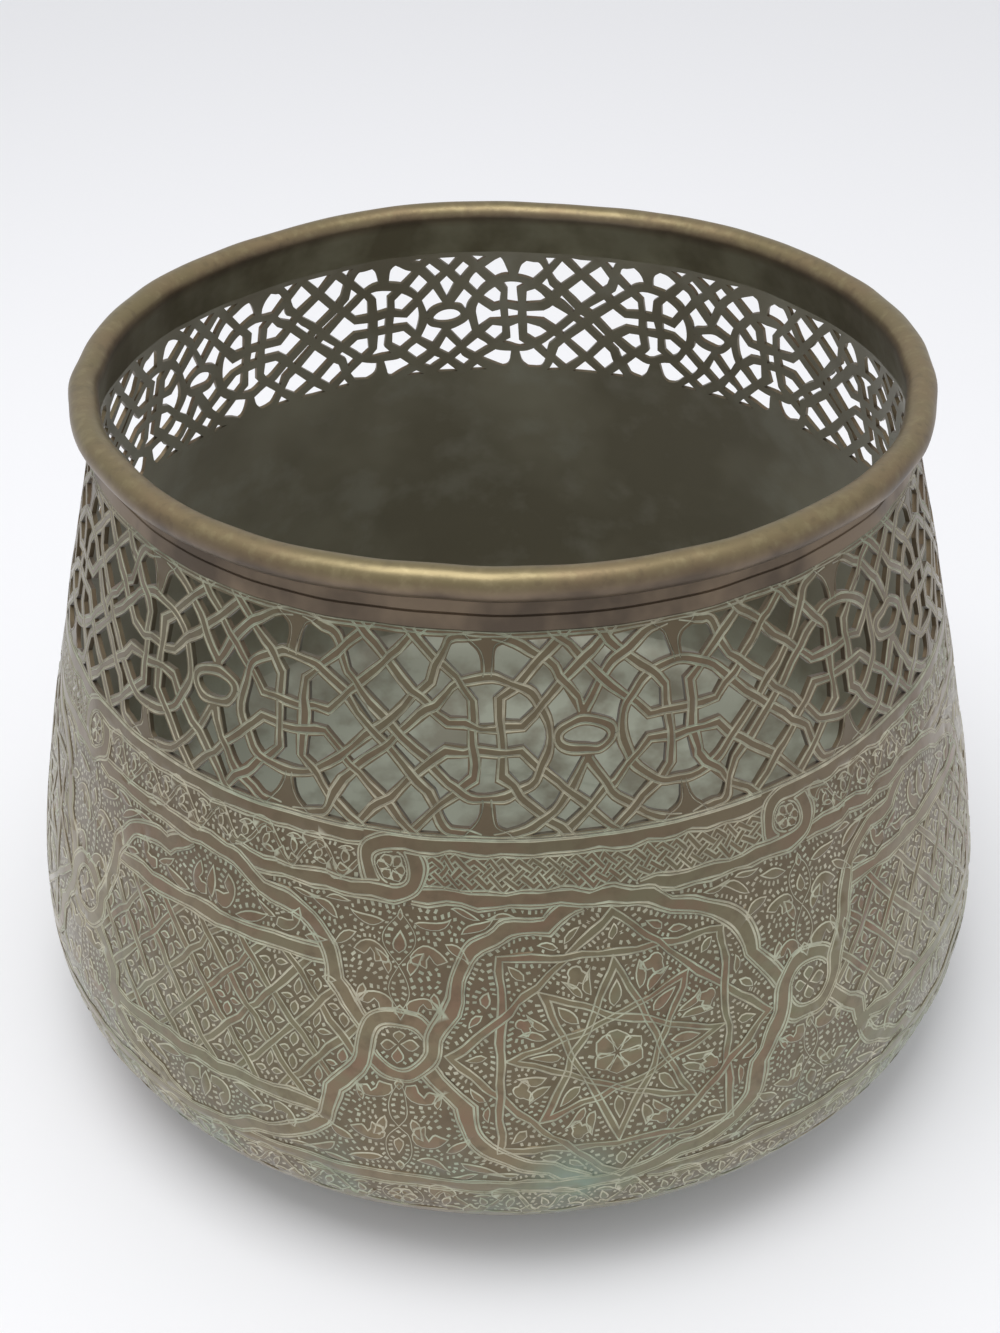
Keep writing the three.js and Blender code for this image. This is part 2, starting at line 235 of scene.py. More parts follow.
def evenly(path, step):                                   # the path at even steps, its corners kept
    pieces = []
    for a, b in zip(path, path[1:]):
        count = max(1, int(round(math.dist(a, b) / step)))
        pieces.append(a + (b - a) * (np.arange(count) / count)[:, None])
    pieces.append(path[-1:])
    return np.vstack(pieces)


def thinned(path, slack=0.03, longest=5.0):               # fewer points where the path runs straight
    kept = [0]
    last = len(path) - 1
    while kept[-1] < last:
        first = kept[-1]
        far = first + 1
        while far < last:
            a, b = path[first], path[far + 1]
            size = math.dist(a, b)
            if size > longest:
                break
            between = path[first + 1:far + 1] - a
            away = np.abs(between[:, 0] * (b[1] - a[1]) - between[:, 1] * (b[0] - a[0])) / max(size, 1e-9)
            if away.max() > slack:
                break
            far += 1
        kept.append(far)
    return path[kept]


def distanceTo(points, path):                             # of each point from a path
    a, b = path[:-1], path[1:]
    way = b - a
    share = ((points[:, None] - a) * way).sum(2) / np.maximum((way * way).sum(1), 1e-12)
    foot = a + np.clip(share, 0, 1)[..., None] * way
    return np.sqrt(((points[:, None] - foot) ** 2).sum(2)).min(1)


def insideOf(points, polygon):
    inside = np.zeros(len(points), bool)
    near = ((points >= polygon.min(0)) & (points <= polygon.max(0))).all(1)
    if near.any():
        x, y = points[near, 0:1], points[near, 1:2]
        ax, ay = polygon.T
        bx, by = np.roll(polygon, -1, 0).T
        left = (bx - ax) * (y - ay) - (x - ax) * (by - ay)
        winding = ((ay <= y) & (by > y) & (left > 0)).sum(1) - ((ay > y) & (by <= y) & (left < 0)).sum(1)
        inside[near] = winding != 0
    return inside


def insideAny(points, shapes):                            # of at least one of many outlines
    order = np.argsort(points[:, 0])
    sortedPoints = points[order]
    found = np.zeros(len(points), bool)
    for shape in shapes:
        first, after = np.searchsorted(sortedPoints[:, 0], [shape[:, 0].min(), shape[:, 0].max()])
        if after > first:
            found[first:after] |= insideOf(sortedPoints[first:after], shape)
    back = np.zeros(len(points), bool)
    back[order] = found
    return back


def spaced(path, step):                                   # points at an even distance along a path
    along = np.concatenate([[0], np.cumsum(np.hypot(*np.diff(path, axis=0).T))])
    places = np.arange(step / 2, along[-1], step)
    return np.column_stack([np.interp(places, along, path[:, 0]), np.interp(places, along, path[:, 1])])


# Straps that pass over and under each other by turns
def newStrap(path, half, lines, tuck=True):
    return {"path": np.array(path, float), "half": half, "lines": lines, "tuck": tuck}


def moved(path, shift):
    return path + np.array([shift, 0.0])


def crossings(a, b):
    lowA, highA, lowB, highB = a.min(0), a.max(0), b.min(0), b.max(0)
    if (lowA > highB).any() or (lowB > highA).any():
        return []
    p, r = a[:-1, None], np.diff(a, axis=0)[:, None]
    q, s = b[None, :-1], np.diff(b, axis=0)[None]
    area = r[..., 0] * s[..., 1] - r[..., 1] * s[..., 0]
    gap = q - p
    area = np.where(np.abs(area) < 1e-9, np.nan, area)
    t = (gap[..., 0] * s[..., 1] - gap[..., 1] * s[..., 0]) / area
    k = (gap[..., 0] * r[..., 1] - gap[..., 1] * r[..., 0]) / area
    hits = np.argwhere((t >= 0) & (t < 1) & (k >= 0) & (k < 1))
    return [(i + t[i, j], j + k[i, j], a[i] + t[i, j] * (a[i + 1] - a[i])) for i, j in hits]


def meetsOf(straps, repeat, copies):                      # where each strap meets others, along its way
    meets = [[] for strap in straps]
    for i, strap in enumerate(straps):
        for j, other in enumerate(straps):
            for copy in copies:
                if i == j and copy == 0:
                    continue
                otherPath = moved(other["path"], copy * repeat)
                for place, otherPlace, point in crossings(strap["path"], otherPath):
                    meets[i].append((place, j, copy, otherPlace, point))
        meets[i].sort(key=lambda meet: meet[0])
    return meets


def turnsOf(meets):
    # over or under at its first crossing, for each strap, so that over and under go by turns
    turn = {}
    for start in range(len(meets)):
        if start in turn:
            continue
        turn[start] = 0
        waiting = [start]
        while waiting:
            i = waiting.pop()
            for order, (place, j, copy, otherPlace, point) in enumerate(meets[i]):
                if j in turn:
                    continue
                mates = [k for k, meet in enumerate(meets[j])
                         if meet[1] == i and meet[2] == -copy and abs(meet[0] - otherPlace) < 1e-6]
                if mates:
                    turn[j] = (turn[i] + order + mates[0] + 1) % 2
                    waiting.append(j)
    return turn


def wovenLines(straps, repeat, copies=(-1, 0, 1), above=()):
    # the incised lines of each strap, broken where another lies over it; all lie under those above
    meets = meetsOf(straps, repeat, copies)
    turn = turnsOf(meets)
    lines = []
    for i, strap in enumerate(straps):
        cutters = []
        for order, (place, j, copy, otherPlace, point) in enumerate(meets[i]):
            if (order + turn[i]) % 2:
                cutters.append((moved(straps[j]["path"], copy * repeat), straps[j], point))
        if strap["tuck"]:
            for end in (strap["path"][0], strap["path"][-1]):
                for j, other in enumerate(straps):
                    for copy in copies:
                        if i == j and copy == 0:
                            continue
                        path = moved(other["path"], copy * repeat)
                        if distanceTo(end[None], path)[0] < other["half"]:
                            cutters.append((path, other, end))
        for other in above:
            for copy in (-1, 0, 1):
                path = moved(other["path"], copy * repeat)
                for end in (strap["path"][0], strap["path"][-1]):
                    if distanceTo(end[None], path)[0] < other["half"]:
                        cutters.append((path, other, end))
        for side in strap["lines"]:
            line = evenly(beside(strap["path"], side), 0.35)
            seen = np.ones(len(line), bool)
            for path, other, point in cutters:
                reach = 2.2 * (other["half"] + strap["half"])
                near = np.hypot(*(line - point).T) < reach
                if near.any():
                    seen[near] &= distanceTo(line[near], path) > max(other["lines"]) + 0.1
            edges = np.flatnonzero(np.diff(np.concatenate([[False], seen, [False]]).astype(int)))
            for first, after in edges.reshape(-1, 2):
                if after - first > 3:
                    lines.append(line[first:after])
    return lines


def bandOf(strap):                                        # the strap's own outline
    return np.vstack([beside(strap["path"], strap["half"]), beside(strap["path"], -strap["half"])[::-1]])


# From a drawing to a sheet of metal
drawing = {
    "longest": 4.5,              # mm between two points of a line
    "weld": 1e-3,                # mm within which two points are one, outside and inside the pot
    "innerWeld": 1e-7,
    "onLine": 2e-3,              # mm within which a corner lies on a split of the drawing
    "seamReach": 1e-3,
    "seamSlack": 0.02,           # mm between two corners of a seam that are one
    "struckReach": 1.4,          # share of a stroke's half length that the punch presses down
    "struckWidth": 0.75,         # share of a stroke's half width that shows as struck
    "spanSlack": 0.2,
    "calm": 4,                   # mm over which the lines stop wavering at the edge of a piece
    "samples": 0.6,              # mm between places on a line from which its distance is taken
    "nearest": 5,
}


def clipped(path, low, high):                             # the parts of a path inside the drawing
    parts = []
    part = []
    for a, b in zip(path, path[1:]):
        t0, t1 = 0.0, 1.0
        way = b - a
        outside = False
        for axis in (0, 1):
            for limit, sign in ((low[axis], -1), (high[axis], 1)):
                reach = sign * way[axis]
                room = sign * (limit - a[axis])
                if abs(reach) < 1e-12:
                    outside = outside or room < 0
                elif reach > 0:
                    t1 = min(t1, room / reach)
                else:
                    t0 = max(t0, room / reach)
        if outside or t0 >= t1:
            if len(part) > 1:
                parts.append(np.array(part))
            part = []
            continue
        if not part:
            part = [a + t0 * way]
        part.append(a + t1 * way)
        if t1 < 1:
            parts.append(np.array(part))
            part = []
    if len(part) > 1:
        parts.append(np.array(part))
    return parts


def grooveEdges(line, width, closed):                     # both edges of an incised line, with pointed ends
    left = beside(line, width / 2, closed)
    right = beside(line, -width / 2, closed)
    if closed:
        return [np.vstack([left, left[:1]]), np.vstack([right, right[:1]])]
    arrive, leave = wayOf(line)
    tipStart = line[0] - leave[0] * width * 0.6
    tipEnd = line[-1] + arrive[-1] * width * 0.6
    return [np.vstack([tipStart, left, tipEnd, right[::-1], tipStart])]


def triangulated(points, edges, slack):
    found = delaunay_2d_cdt([tuple(point) for point in points], edges, [], 1, slack, True)
    corners = np.array([tuple(corner) for corner in found[0]])
    return corners, np.array([list(face) for face in found[2]]), found[3]


def areas(corners, faces):
    a, b, c = (corners[faces[:, k]] for k in range(3))
    b, c = b - a, c - a
    return 0.5 * np.abs(b[:, 0] * c[:, 1] - b[:, 1] * c[:, 0])


def grooveShare(corners, centres, widths):                # 1 at the bottom of a groove, 0 on the flat
    starts = np.vstack([line[:-1] for line in centres])
    ends = np.vstack([line[1:] for line in centres])
    halves = np.concatenate([np.full(len(line) - 1, width / 2) for line, width in zip(centres, widths)])
    counts = np.maximum(1, np.ceil(np.hypot(*(ends - starts).T) / drawing["samples"]).astype(int))
    tree = kdtree.KDTree(int((counts + 1).sum()))
    for k in range(len(starts)):
        for share in np.linspace(0, 1, counts[k] + 1):
            spot = starts[k] + share * (ends[k] - starts[k])
            tree.insert((spot[0], spot[1], 0), k)
    tree.balance()
    most = drawing["nearest"]
    near = np.zeros((len(corners), most), int)
    for k, corner in enumerate(corners):
        found = [index for spot, index, away in tree.find_n((corner[0], corner[1], 0), most)]
        near[k] = (found * most)[:most]
    a = starts[near]
    way = ends[near] - a
    share = np.clip(((corners[:, None] - a) * way).sum(2) / np.maximum((way * way).sum(2), 1e-12), 0, 1)
    away = np.sqrt(((corners[:, None] - a - share[..., None] * way) ** 2).sum(2))
    return np.clip(1 - away / halves[near], 0, 1).max(1)


def closedIn(flat, faces, keep):                          # slivers with metal on all three sides are metal
    corners = flat[faces]
    longest = np.hypot(*(corners - np.roll(corners, 1, 1)).transpose(2, 0, 1)).max(1)
    thin = areas(flat, faces) < 0.02 * longest ** 2
    pairs = {}
    for k in np.flatnonzero(keep):
        a, b, c = faces[k]
        pairs[(a, b)] = pairs[(b, c)] = pairs[(c, a)] = True
    for k in np.flatnonzero(~keep & thin):
        a, b, c = faces[k]
        if (b, a) in pairs and (c, b) in pairs and (a, c) in pairs:
            keep[k] = True
    return keep


def treeOf(spots):                                        # for finding the nearest of many flat points
    tree = kdtree.KDTree(len(spots))
    for k, spot in enumerate(spots):
        tree.insert((spot[0], spot[1], 0), k)
    tree.balance()
    return tree


def punchMarks(design, outlines, low, high):
    # places and directions of the strokes struck in rows along the outlines, then over what is left
    p = design["punch"]
    tree = treeOf(np.vstack([evenly(line, 0.4) for line in outlines]))
    dice = np.random.default_rng(p["seed"])
    tries = []
    for line in outlines:
        for side in (p["row"], -p["row"]):
            tries.append(spaced(beside(line, side), p["pitch"]))
    size = ((high - low) / p["fill"]).astype(int)
    spread = np.stack(np.meshgrid(*(np.arange(count) for count in size)), -1).reshape(-1, 2) * p["fill"]
    tries.append(low + spread + dice.uniform(0, p["fill"], spread.shape))
    tries = np.vstack(tries)
    room = ((tries > low + p["clear"]) & (tries < high - p["clear"])).all(1)
    tries = tries[room]
    tries = tries[design["isGround"](tries)]
    taken = {}
    marks = []
    for spot in tries:
        near, index, away = tree.find((spot[0], spot[1], 0))
        if away < p["clear"]:
            continue
        cell = (int(spot[0] // p["apart"]), int(spot[1] // p["apart"]))
        around = [(cell[0] + dx, cell[1] + dy) for dx in (-1, 0, 1) for dy in (-1, 0, 1)]
        if any(math.dist(spot, taken[key]) < p["apart"] for key in around if key in taken):
            continue
        taken[cell] = spot
        way = np.array([spot[0] - near[0], spot[1] - near[1]]) / away
        turn = dice.uniform(-0.5, 0.5)
        way = np.array([way[0] * math.cos(turn) - way[1] * math.sin(turn),
                        way[0] * math.sin(turn) + way[1] * math.cos(turn)])
        grow = dice.uniform(0.85, 1.1) * min(1, (away - p["gap"]) / p["half"])
        long = way * p["half"] * grow
        wide = np.array([-way[1], way[0]]) * p["halfWide"] * grow
        ends = [spot + long + wide, spot - long + wide, spot - long - wide, spot + long - wide]
        marks.append((spot, np.array(ends + ends[:1])))
    return marks


def gridPoints(low, high, step):                          # they break up the long triangles of plain metal
    return [np.array([u, w]) for u in np.arange(low[0] + step / 2, high[0], step)
            for w in np.arange(low[1] + step / 2, high[1], step)]


def cutDrawing(design):
    # one repeat of the sheet as flat triangles, with its grooves, openings and ground
    low = np.array(design["low"], float)
    high = np.array(design["high"], float)
    longest = drawing["longest"]
    points = []
    edges = []

    def draw(path):
        first = len(points)
        points.extend(path)
        edges.extend((first + k, first + k + 1) for k in range(len(path) - 1))

    def drawInside(path):
        for part in clipped(path, low, high):
            draw(part)

    def shiftsOf(path):                                   # the repeats of a path that reach the drawing
        for copy in design["copies"]:
            shift = copy * design["repeat"]
            across = path[:, 0] + shift
            if across.max() >= low[0] - 1 and across.min() <= high[0] + 1:
                yield shift

    corners = [low, (high[0], low[1]), high, (low[0], high[1]), low]
    draw(evenly(np.array(corners, float), longest))
    for height in design["splits"]:
        draw(evenly(np.array([(low[0], height), (high[0], height)]), longest))
    centres = []
    widths = []
    for line, width, closed in design["grooves"]:
        line = evenly(thinned(line), longest)
        if closed:
            line = line[:-1]
        loop = np.vstack([line, line[:1]]) if closed else line
        for shift in shiftsOf(line):
            centres.append(moved(loop, shift))
            widths.append(width)
            drawInside(moved(loop, shift))
            for edge in grooveEdges(line, width, closed):
                drawInside(moved(edge, shift))
    lineCount = len(centres)
    for outline, width in design["motifs"]:
        # a reserved shape: its outline lies at the foot of a narrow slope
        inner = beside(outline, width, True)
        if insideOf(inner, outline).mean() < 0.5:
            inner = beside(outline, -width, True)
        for shift in shiftsOf(outline):
            centres.append(moved(np.vstack([outline, outline[:1]]), shift))
            widths.append(2 * width)
            for loop in (outline, inner):
                drawInside(moved(np.vstack([loop, loop[:1]]), shift))
    for outline in design["outlines"]:
        loop = thinned(np.vstack([outline, outline[:1]]))
        for copy in design["copies"]:
            drawInside(moved(loop, copy * design["repeat"]))
    marks = punchMarks(design, centres, low, high) if design["punch"] else []
    for spot, loop in marks:
        draw(loop)
    points += gridPoints(low, high, design["grid"])
    flat, faces, origins = triangulated(points, edges, drawing["weld"])
    for height in [low[1], high[1]] + design["splits"]:
        flat[np.abs(flat[:, 1] - height) < drawing["onLine"], 1] = height
    middles = flat[faces].mean(1)
    keep = np.ones(len(faces), bool)
    if design["isOpen"] is not None:
        keep = closedIn(flat, faces, ~design["isOpen"](middles))
    faces, middles = faces[keep], middles[keep]
    used = np.unique(faces)
    place = np.full(len(flat), -1)
    place[used] = np.arange(len(used))
    flat, faces = flat[used], place[faces]
    cut = {"flat": flat, "faces": faces, "ring": ringOf(flat, faces, design["splits"])}
    cut.update(reliefOf(design, flat, faces, centres, widths, lineCount, marks))
    return cut


def reliefOf(design, flat, faces, centres, widths, lineCount, marks):
    # how deep each corner lies, what each triangle is, and how much of a cut its corners are in;
    # the first lines of centres are incised, and the others are the edges of motifs
    middles = flat[faces].mean(1)
    ground = design["isGround"](middles)
    onlyGround = np.ones(len(flat), bool)
    onlyGround[faces[~ground].ravel()] = False
    lineShare = grooveShare(flat, centres[:lineCount], widths[:lineCount])
    groove = grooveShare(flat, centres, widths) if design["motifs"] else lineShare
    sunk = np.maximum(groove * design["depth"], onlyGround * design["groundDepth"])
    kind = ground.astype(float)                           # 0 left standing, 1 ground, 2 punched stroke
    if marks:
        p = design["punch"]
        tree = treeOf([spot for spot, loop in marks])
        for k, corner in enumerate(flat):
            if tree.find((corner[0], corner[1], 0))[2] < p["half"] * drawing["struckReach"]:
                sunk[k] += p["depth"]
        for k, middle in enumerate(middles):
            if tree.find((middle[0], middle[1], 0))[2] < p["halfWide"] * drawing["struckWidth"]:
                kind[k] = 2
    # the ground takes its dust from the incised lines only, not from the foot of what is left standing
    share = np.where(kind[:, None] > 0, lineShare[faces], groove[faces])
    lineMiddle = grooveShare(middles, centres[:lineCount], widths[:lineCount])
    wholeMiddle = grooveShare(middles, centres, widths) if design["motifs"] else lineMiddle
    middleShare = np.where(kind > 0, lineMiddle, wholeMiddle)
    # a triangle that spans the flat between two cuts takes the share at its middle
    spans = share.mean(1) > middleShare + drawing["spanSlack"]
    share[spans] = np.minimum(share[spans], middleShare[spans, None])
    return {"share": share, "sunk": sunk, "ground": kind}


def ringOf(flat, faces, splits):
    # which ring each triangle is in; a sliver on a split goes with the one across its longest edge
    corners = flat[faces]
    ring = np.digitize(corners.mean(1)[:, 1], splits)
    owner = {}
    for k, (a, b, c) in enumerate(faces):
        owner[(a, b)] = owner[(b, c)] = owner[(c, a)] = k
    lengths = np.hypot(*(np.roll(corners, -1, 1) - corners).transpose(2, 0, 1))
    for turn in range(3):
        for split in splits:
            for k in np.flatnonzero((np.abs(corners[:, :, 1] - split) < drawing["onLine"]).all(1)):
                side = int(lengths[k].argmax())
                across = owner.get((faces[k][(side + 1) % 3], faces[k][side]))
                if across is not None:
                    ring[k] = ring[across]
    return ring


def partOf(cut, ring):                                    # the triangles of one ring of a drawing
    own = cut["ring"] == ring
    faces = cut["faces"][own]
    used = np.unique(faces)
    place = np.full(len(cut["flat"]), -1)
    place[used] = np.arange(len(used))
    return {"flat": cut["flat"][used], "faces": place[faces], "share": cut["share"][own],
            "sunk": cut["sunk"][used], "ground": cut["ground"][own]}


def borderEdges(faces):                                   # edges of one triangle only, in its direction
    pairs = np.vstack([faces[:, [0, 1]], faces[:, [1, 2]], faces[:, [2, 0]]])
    seen = {}
    for a, b in pairs:
        seen[(a, b)] = True
    return [(a, b) for a, b in seen if (b, a) not in seen]


def innerDrawing(design, cut):
    # the plain inside face: the same openings, without grooves
    low = np.array(design["low"], float)
    high = np.array(design["high"], float)
    edges = borderEdges(cut["faces"])
    used = sorted({corner for edge in edges for corner in edge})
    index = {corner: k for k, corner in enumerate(used)}
    points = [cut["flat"][corner] for corner in used]
    links = [(index[a], index[b]) for a, b in edges]
    points += gridPoints(low, high, design["innerGrid"])
    flat, faces, origins = triangulated(points, links, drawing["innerWeld"])
    middles = flat[faces].mean(1)
    keep = np.ones(len(faces), bool)
    innerOf = {}
    for new, olds in enumerate(origins):
        for old in olds:
            if old < len(used):
                innerOf[used[old]] = new
    if design["isOpen"] is not None:
        keep = closedIn(flat, faces, ~design["isOpen"](middles))
        # at the border itself the outer face has settled which side is metal
        metalSide = {(innerOf.get(a), innerOf.get(b)) for a, b in edges}
        for k, (a, b, c) in enumerate(faces):
            if not metalSide.isdisjoint([(a, b), (b, c), (c, a)]):
                keep[k] = True
            elif not metalSide.isdisjoint([(b, a), (c, b), (a, c)]):
                keep[k] = False
    return flat, faces[keep], innerOf, edges


def sheetPiece(name, design, cut):
    # all repeats round the pot, closed to a solid sheet
    innerFlat, innerFaces, innerOf, border = innerDrawing(design, cut)
    low, high = design["low"][0], design["high"][0]

    def onSeam(point):
        return min(abs(point[0] - low), abs(point[0] - high)) < drawing["seamReach"]

    sides = [(a, b) for a, b in border
             if not (onSeam(cut["flat"][a]) and onSeam(cut["flat"][b])) and a in innerOf and b in innerOf]
    repeats = design["repeats"]
    outerCount = len(cut["flat"])
    innerCount = len(innerFlat)
    # a corner on the right seam of one repeat is the corner on the left seam of the next
    seamMate = {}
    for flat, base in ((cut["flat"], 0), (innerFlat, outerCount)):
        left = [k for k in range(len(flat)) if abs(flat[k][0] - low) < drawing["seamReach"]]
        right = [k for k in range(len(flat)) if abs(flat[k][0] - high) < drawing["seamReach"]]
        leftHeights = flat[left][:, 1]
        for k in right:
            best = int(np.argmin(np.abs(leftHeights - flat[k][1])))
            if abs(leftHeights[best] - flat[k][1]) < drawing["seamSlack"]:
                seamMate[base + k] = base + left[best]
    total = outerCount + innerCount
    own = np.arange(total)
    for k, mate in seamMate.items():
        own[k] = -1 - mate
    allFlat = np.vstack([cut["flat"], innerFlat])
    depth = np.concatenate([cut["sunk"], np.full(innerCount, pot["sheet"])])
    sideFaces = []
    for a, b in sides:
        c, d = innerOf[b] + outerCount, innerOf[a] + outerCount
        sideFaces += [(b, a, d), (b, d, c)]
    sideFaces = [face for face in sideFaces if len(set(face)) == 3]
    local = np.vstack([cut["faces"], innerFaces[:, ::-1] + outerCount, sideFaces])[:, ::-1]
    plain = len(local) - len(cut["ground"])
    faceGround = np.concatenate([cut["ground"], np.zeros(plain)])
    faceShare = np.vstack([cut["share"], np.zeros((plain, 3))])[:, ::-1]
    keptCorners = np.flatnonzero(own >= 0)
    rank = np.full(total, -1)
    rank[keptCorners] = np.arange(len(keptCorners))
    perRepeat = len(keptCorners)
    positions = []
    faces = []
    grooves = []
    grounds = []
    flatCorners = []
    across, down = allFlat[keptCorners].T
    along = design["along"](down)
    calmTop, calmFoot = design["calm"]
    free = smoothStep(down, calmTop, calmTop + drawing["calm"])
    free *= 1 - smoothStep(down, calmFoot - drawing["calm"], calmFoot)
    for copy in range(repeats):
        angle = (across + copy * design["repeat"]) / design["radius"] + design["turn"]
        du, dw = wavered(angle, along)
        angle = angle + du / design["radius"] * free
        positions.append(wallPoints(angle, along + dw * free, depth[keptCorners]))
        index = np.where(own >= 0, rank + copy * perRepeat, 0)
        for k, mate in seamMate.items():
            index[k] = rank[mate] + ((copy + 1) % repeats) * perRepeat
        made = index[local]
        # two corners of one seam can meet in a single corner of the next, and their triangle goes
        whole = (made[:, 0] != made[:, 1]) & (made[:, 1] != made[:, 2]) & (made[:, 2] != made[:, 0])
        faces.append(made[whole])
        grooves.append(faceShare[whole].ravel())
        grounds.append(faceGround[whole])
        flatCorners.append(allFlat[local[whole]] + np.array([copy * design["repeat"], 0]))
    piece = meshPiece(name, beaten(np.vstack(positions)), np.vstack(faces))
    data = piece.data
    data.attributes.new("groove", "FLOAT", "CORNER").data.foreach_set("value", np.concatenate(grooves))
    data.attributes.new("ground", "FLOAT", "FACE").data.foreach_set("value", np.concatenate(grounds))
    layer = data.uv_layers.new(name="sheetPlace")
    layer.data.foreach_set("uv", np.vstack([corner.reshape(-1, 2) for corner in flatCorners]).ravel())
    smoothed(piece)
    return piece


def meshPiece(name, points, faces):                       # points in mm
    data = bpy.data.meshes.new(name)
    data.vertices.add(len(points))
    data.vertices.foreach_set("co", (np.asarray(points) * mm).ravel())
    data.loops.add(faces.size)
    data.loops.foreach_set("vertex_index", faces.ravel().astype(np.int32))
    data.polygons.add(len(faces))
    data.polygons.foreach_set("loop_start", np.arange(0, faces.size, faces.shape[1], dtype=np.int32))
    data.polygons.foreach_set("loop_total", np.full(len(faces), faces.shape[1], np.int32))
    data.update(calc_edges=True)
    data.validate()
    piece = bpy.data.objects.new(name, data)
    bpy.context.collection.objects.link(piece)
    return piece


def alone(piece):
    bpy.ops.object.select_all(action="DESELECT")
    piece.select_set(True)
    bpy.context.view_layer.objects.active = piece


def smoothed(piece):
    alone(piece)
    bpy.ops.object.shade_smooth_by_angle(angle=math.radians(pot["smoothDegrees"]))


jointHeight = 164.86             # the frieze and the belly meet in an incised line


# Pierced frieze of interlaced straps
friezeForm = {
    "middle": 193.6,             # height of its middle
    "halfHeight": 27.3,
    "repeats": 8,
    "turnDegrees": -1.85,
    "wideShare": 0.511,          # of a repeat that lies in the wide field
    "strapHalf": 1.7,
    "lineAside": 1.02,           # incised lines from the strap's middle
    "lineWidth": 0.78,
    "depth": 0.42,
    "groundDepth": 0.15,
    "ring": 16.9,
    "knotGap": 3.6,
    "knotReach": 11.0,
    "knotReachNarrow": 9.3,
    "eyeLength": 7.3,
    "eyeHeight": 4.4,
    "finialHalf": 6.5,
    "finialInset": 0.8,          # from a finial's edge to the line cut inside it
    "finialLine": 0.5,
    "tailStart": 16.0,
    "tailEnd": 2.0,
    "top": 29.2,                 # mm above the middle where this piece of the sheet ends
    "edgeLine": 0.7,             # width of the lines along its edges
    "edgeAbove": 0.75,           # from the openings to the line above them, and to the one below
    "edgeBelow": 0.7,
    "belowLine": 0.6,
    "grid": 5.0,
    "innerGrid": 5.5,
}


def roundelPaths(wide, narrow):
    # straps and finials of one roundel, drawn from its middle with the wide field on its right;
    # each strap comes with whether its ends tuck under what they meet
    f = friezeForm
    h, ring, gap = f["halfHeight"], f["ring"], f["knotGap"]
    past = 2 * f["strapHalf"]                             # straps run on past the edge of the frieze
    slope = (2 * h - f["knotReach"] - gap) / (wide - gap - f["knotReach"])
    narrowSlope = (2 * h - f["knotReach"] - gap) / (narrow - gap - f["knotReachNarrow"])
    wideTop = gap + (h - f["knotReach"]) / slope
    narrowTop = gap + (h - f["knotReach"]) / narrowSlope
    straps = []
    finials = []
    for side, top, lean in ((1, wideTop, slope), (-1, narrowTop, narrowSlope)):
        straps.append(([
            (side * (top + past / lean), -h - past),
            (side * gap, -f["knotReach"]),
            (side * gap, f["knotReach"]),
            (side * (top + past / lean), h + past),
        ], False))
    for up in (1, -1):
        straps.append(([
            (wide - wideTop + past / slope, -up * (h + past)),
            (f["knotReach"], -up * gap),
            (-f["knotReachNarrow"], -up * gap),
            (narrowTop - narrow - past / narrowSlope, -up * (h + past)),
        ], False))
        lean = math.atan(slope)
        bow = arc((0, 0), ring, 180, 90 - math.degrees(lean))
        if up < 0:
            bow = bow * (1, -1)
        drop = (wide - f["tailStart"] - ring / math.sin(lean)) * slope
        straightEnd = [bow[-1], np.array([wide - f["tailStart"], up * drop])]
        tail = through([
            straightEnd[1],
            (wide - 12, up * (h - 2.1)),
            (wide - 8, up * (h - 0.3)),
            (wide - f["tailEnd"], up * (h + 1.2)),
        ])
        straps.append((joined(bow, straightEnd, tail), False))
        eyeBow = through([
            (-f["tailEnd"], -up * (h + 0.9)),
            (-7.9, -up * (h - 0.5)),
            (-13, -up * (h - 3.5)),
            (-18.6, -up * 19.3),
            (-22, -up * 14.6),
        ])
        eyeEnd = [(-22, -up * 14.6), (-narrow / 2 - 0.6, -up * (f["eyeHeight"] + 0.9))]
        straps.append((joined(eyeBow, eyeEnd), True))
        left = through([
            (-f["finialHalf"] - 2, -up * (h + past)),
            (-f["finialHalf"], -up * (h - 0.2)),
            (-3.2, -up * (h - 3.2)),
            (-1.9, -up * (ring + 2.5)),
            (-1.8, -up * (ring - 0.5)),
        ])
        finials.append(np.vstack([left, (left * (-1, 1))[::-1]]))
    return straps, finials


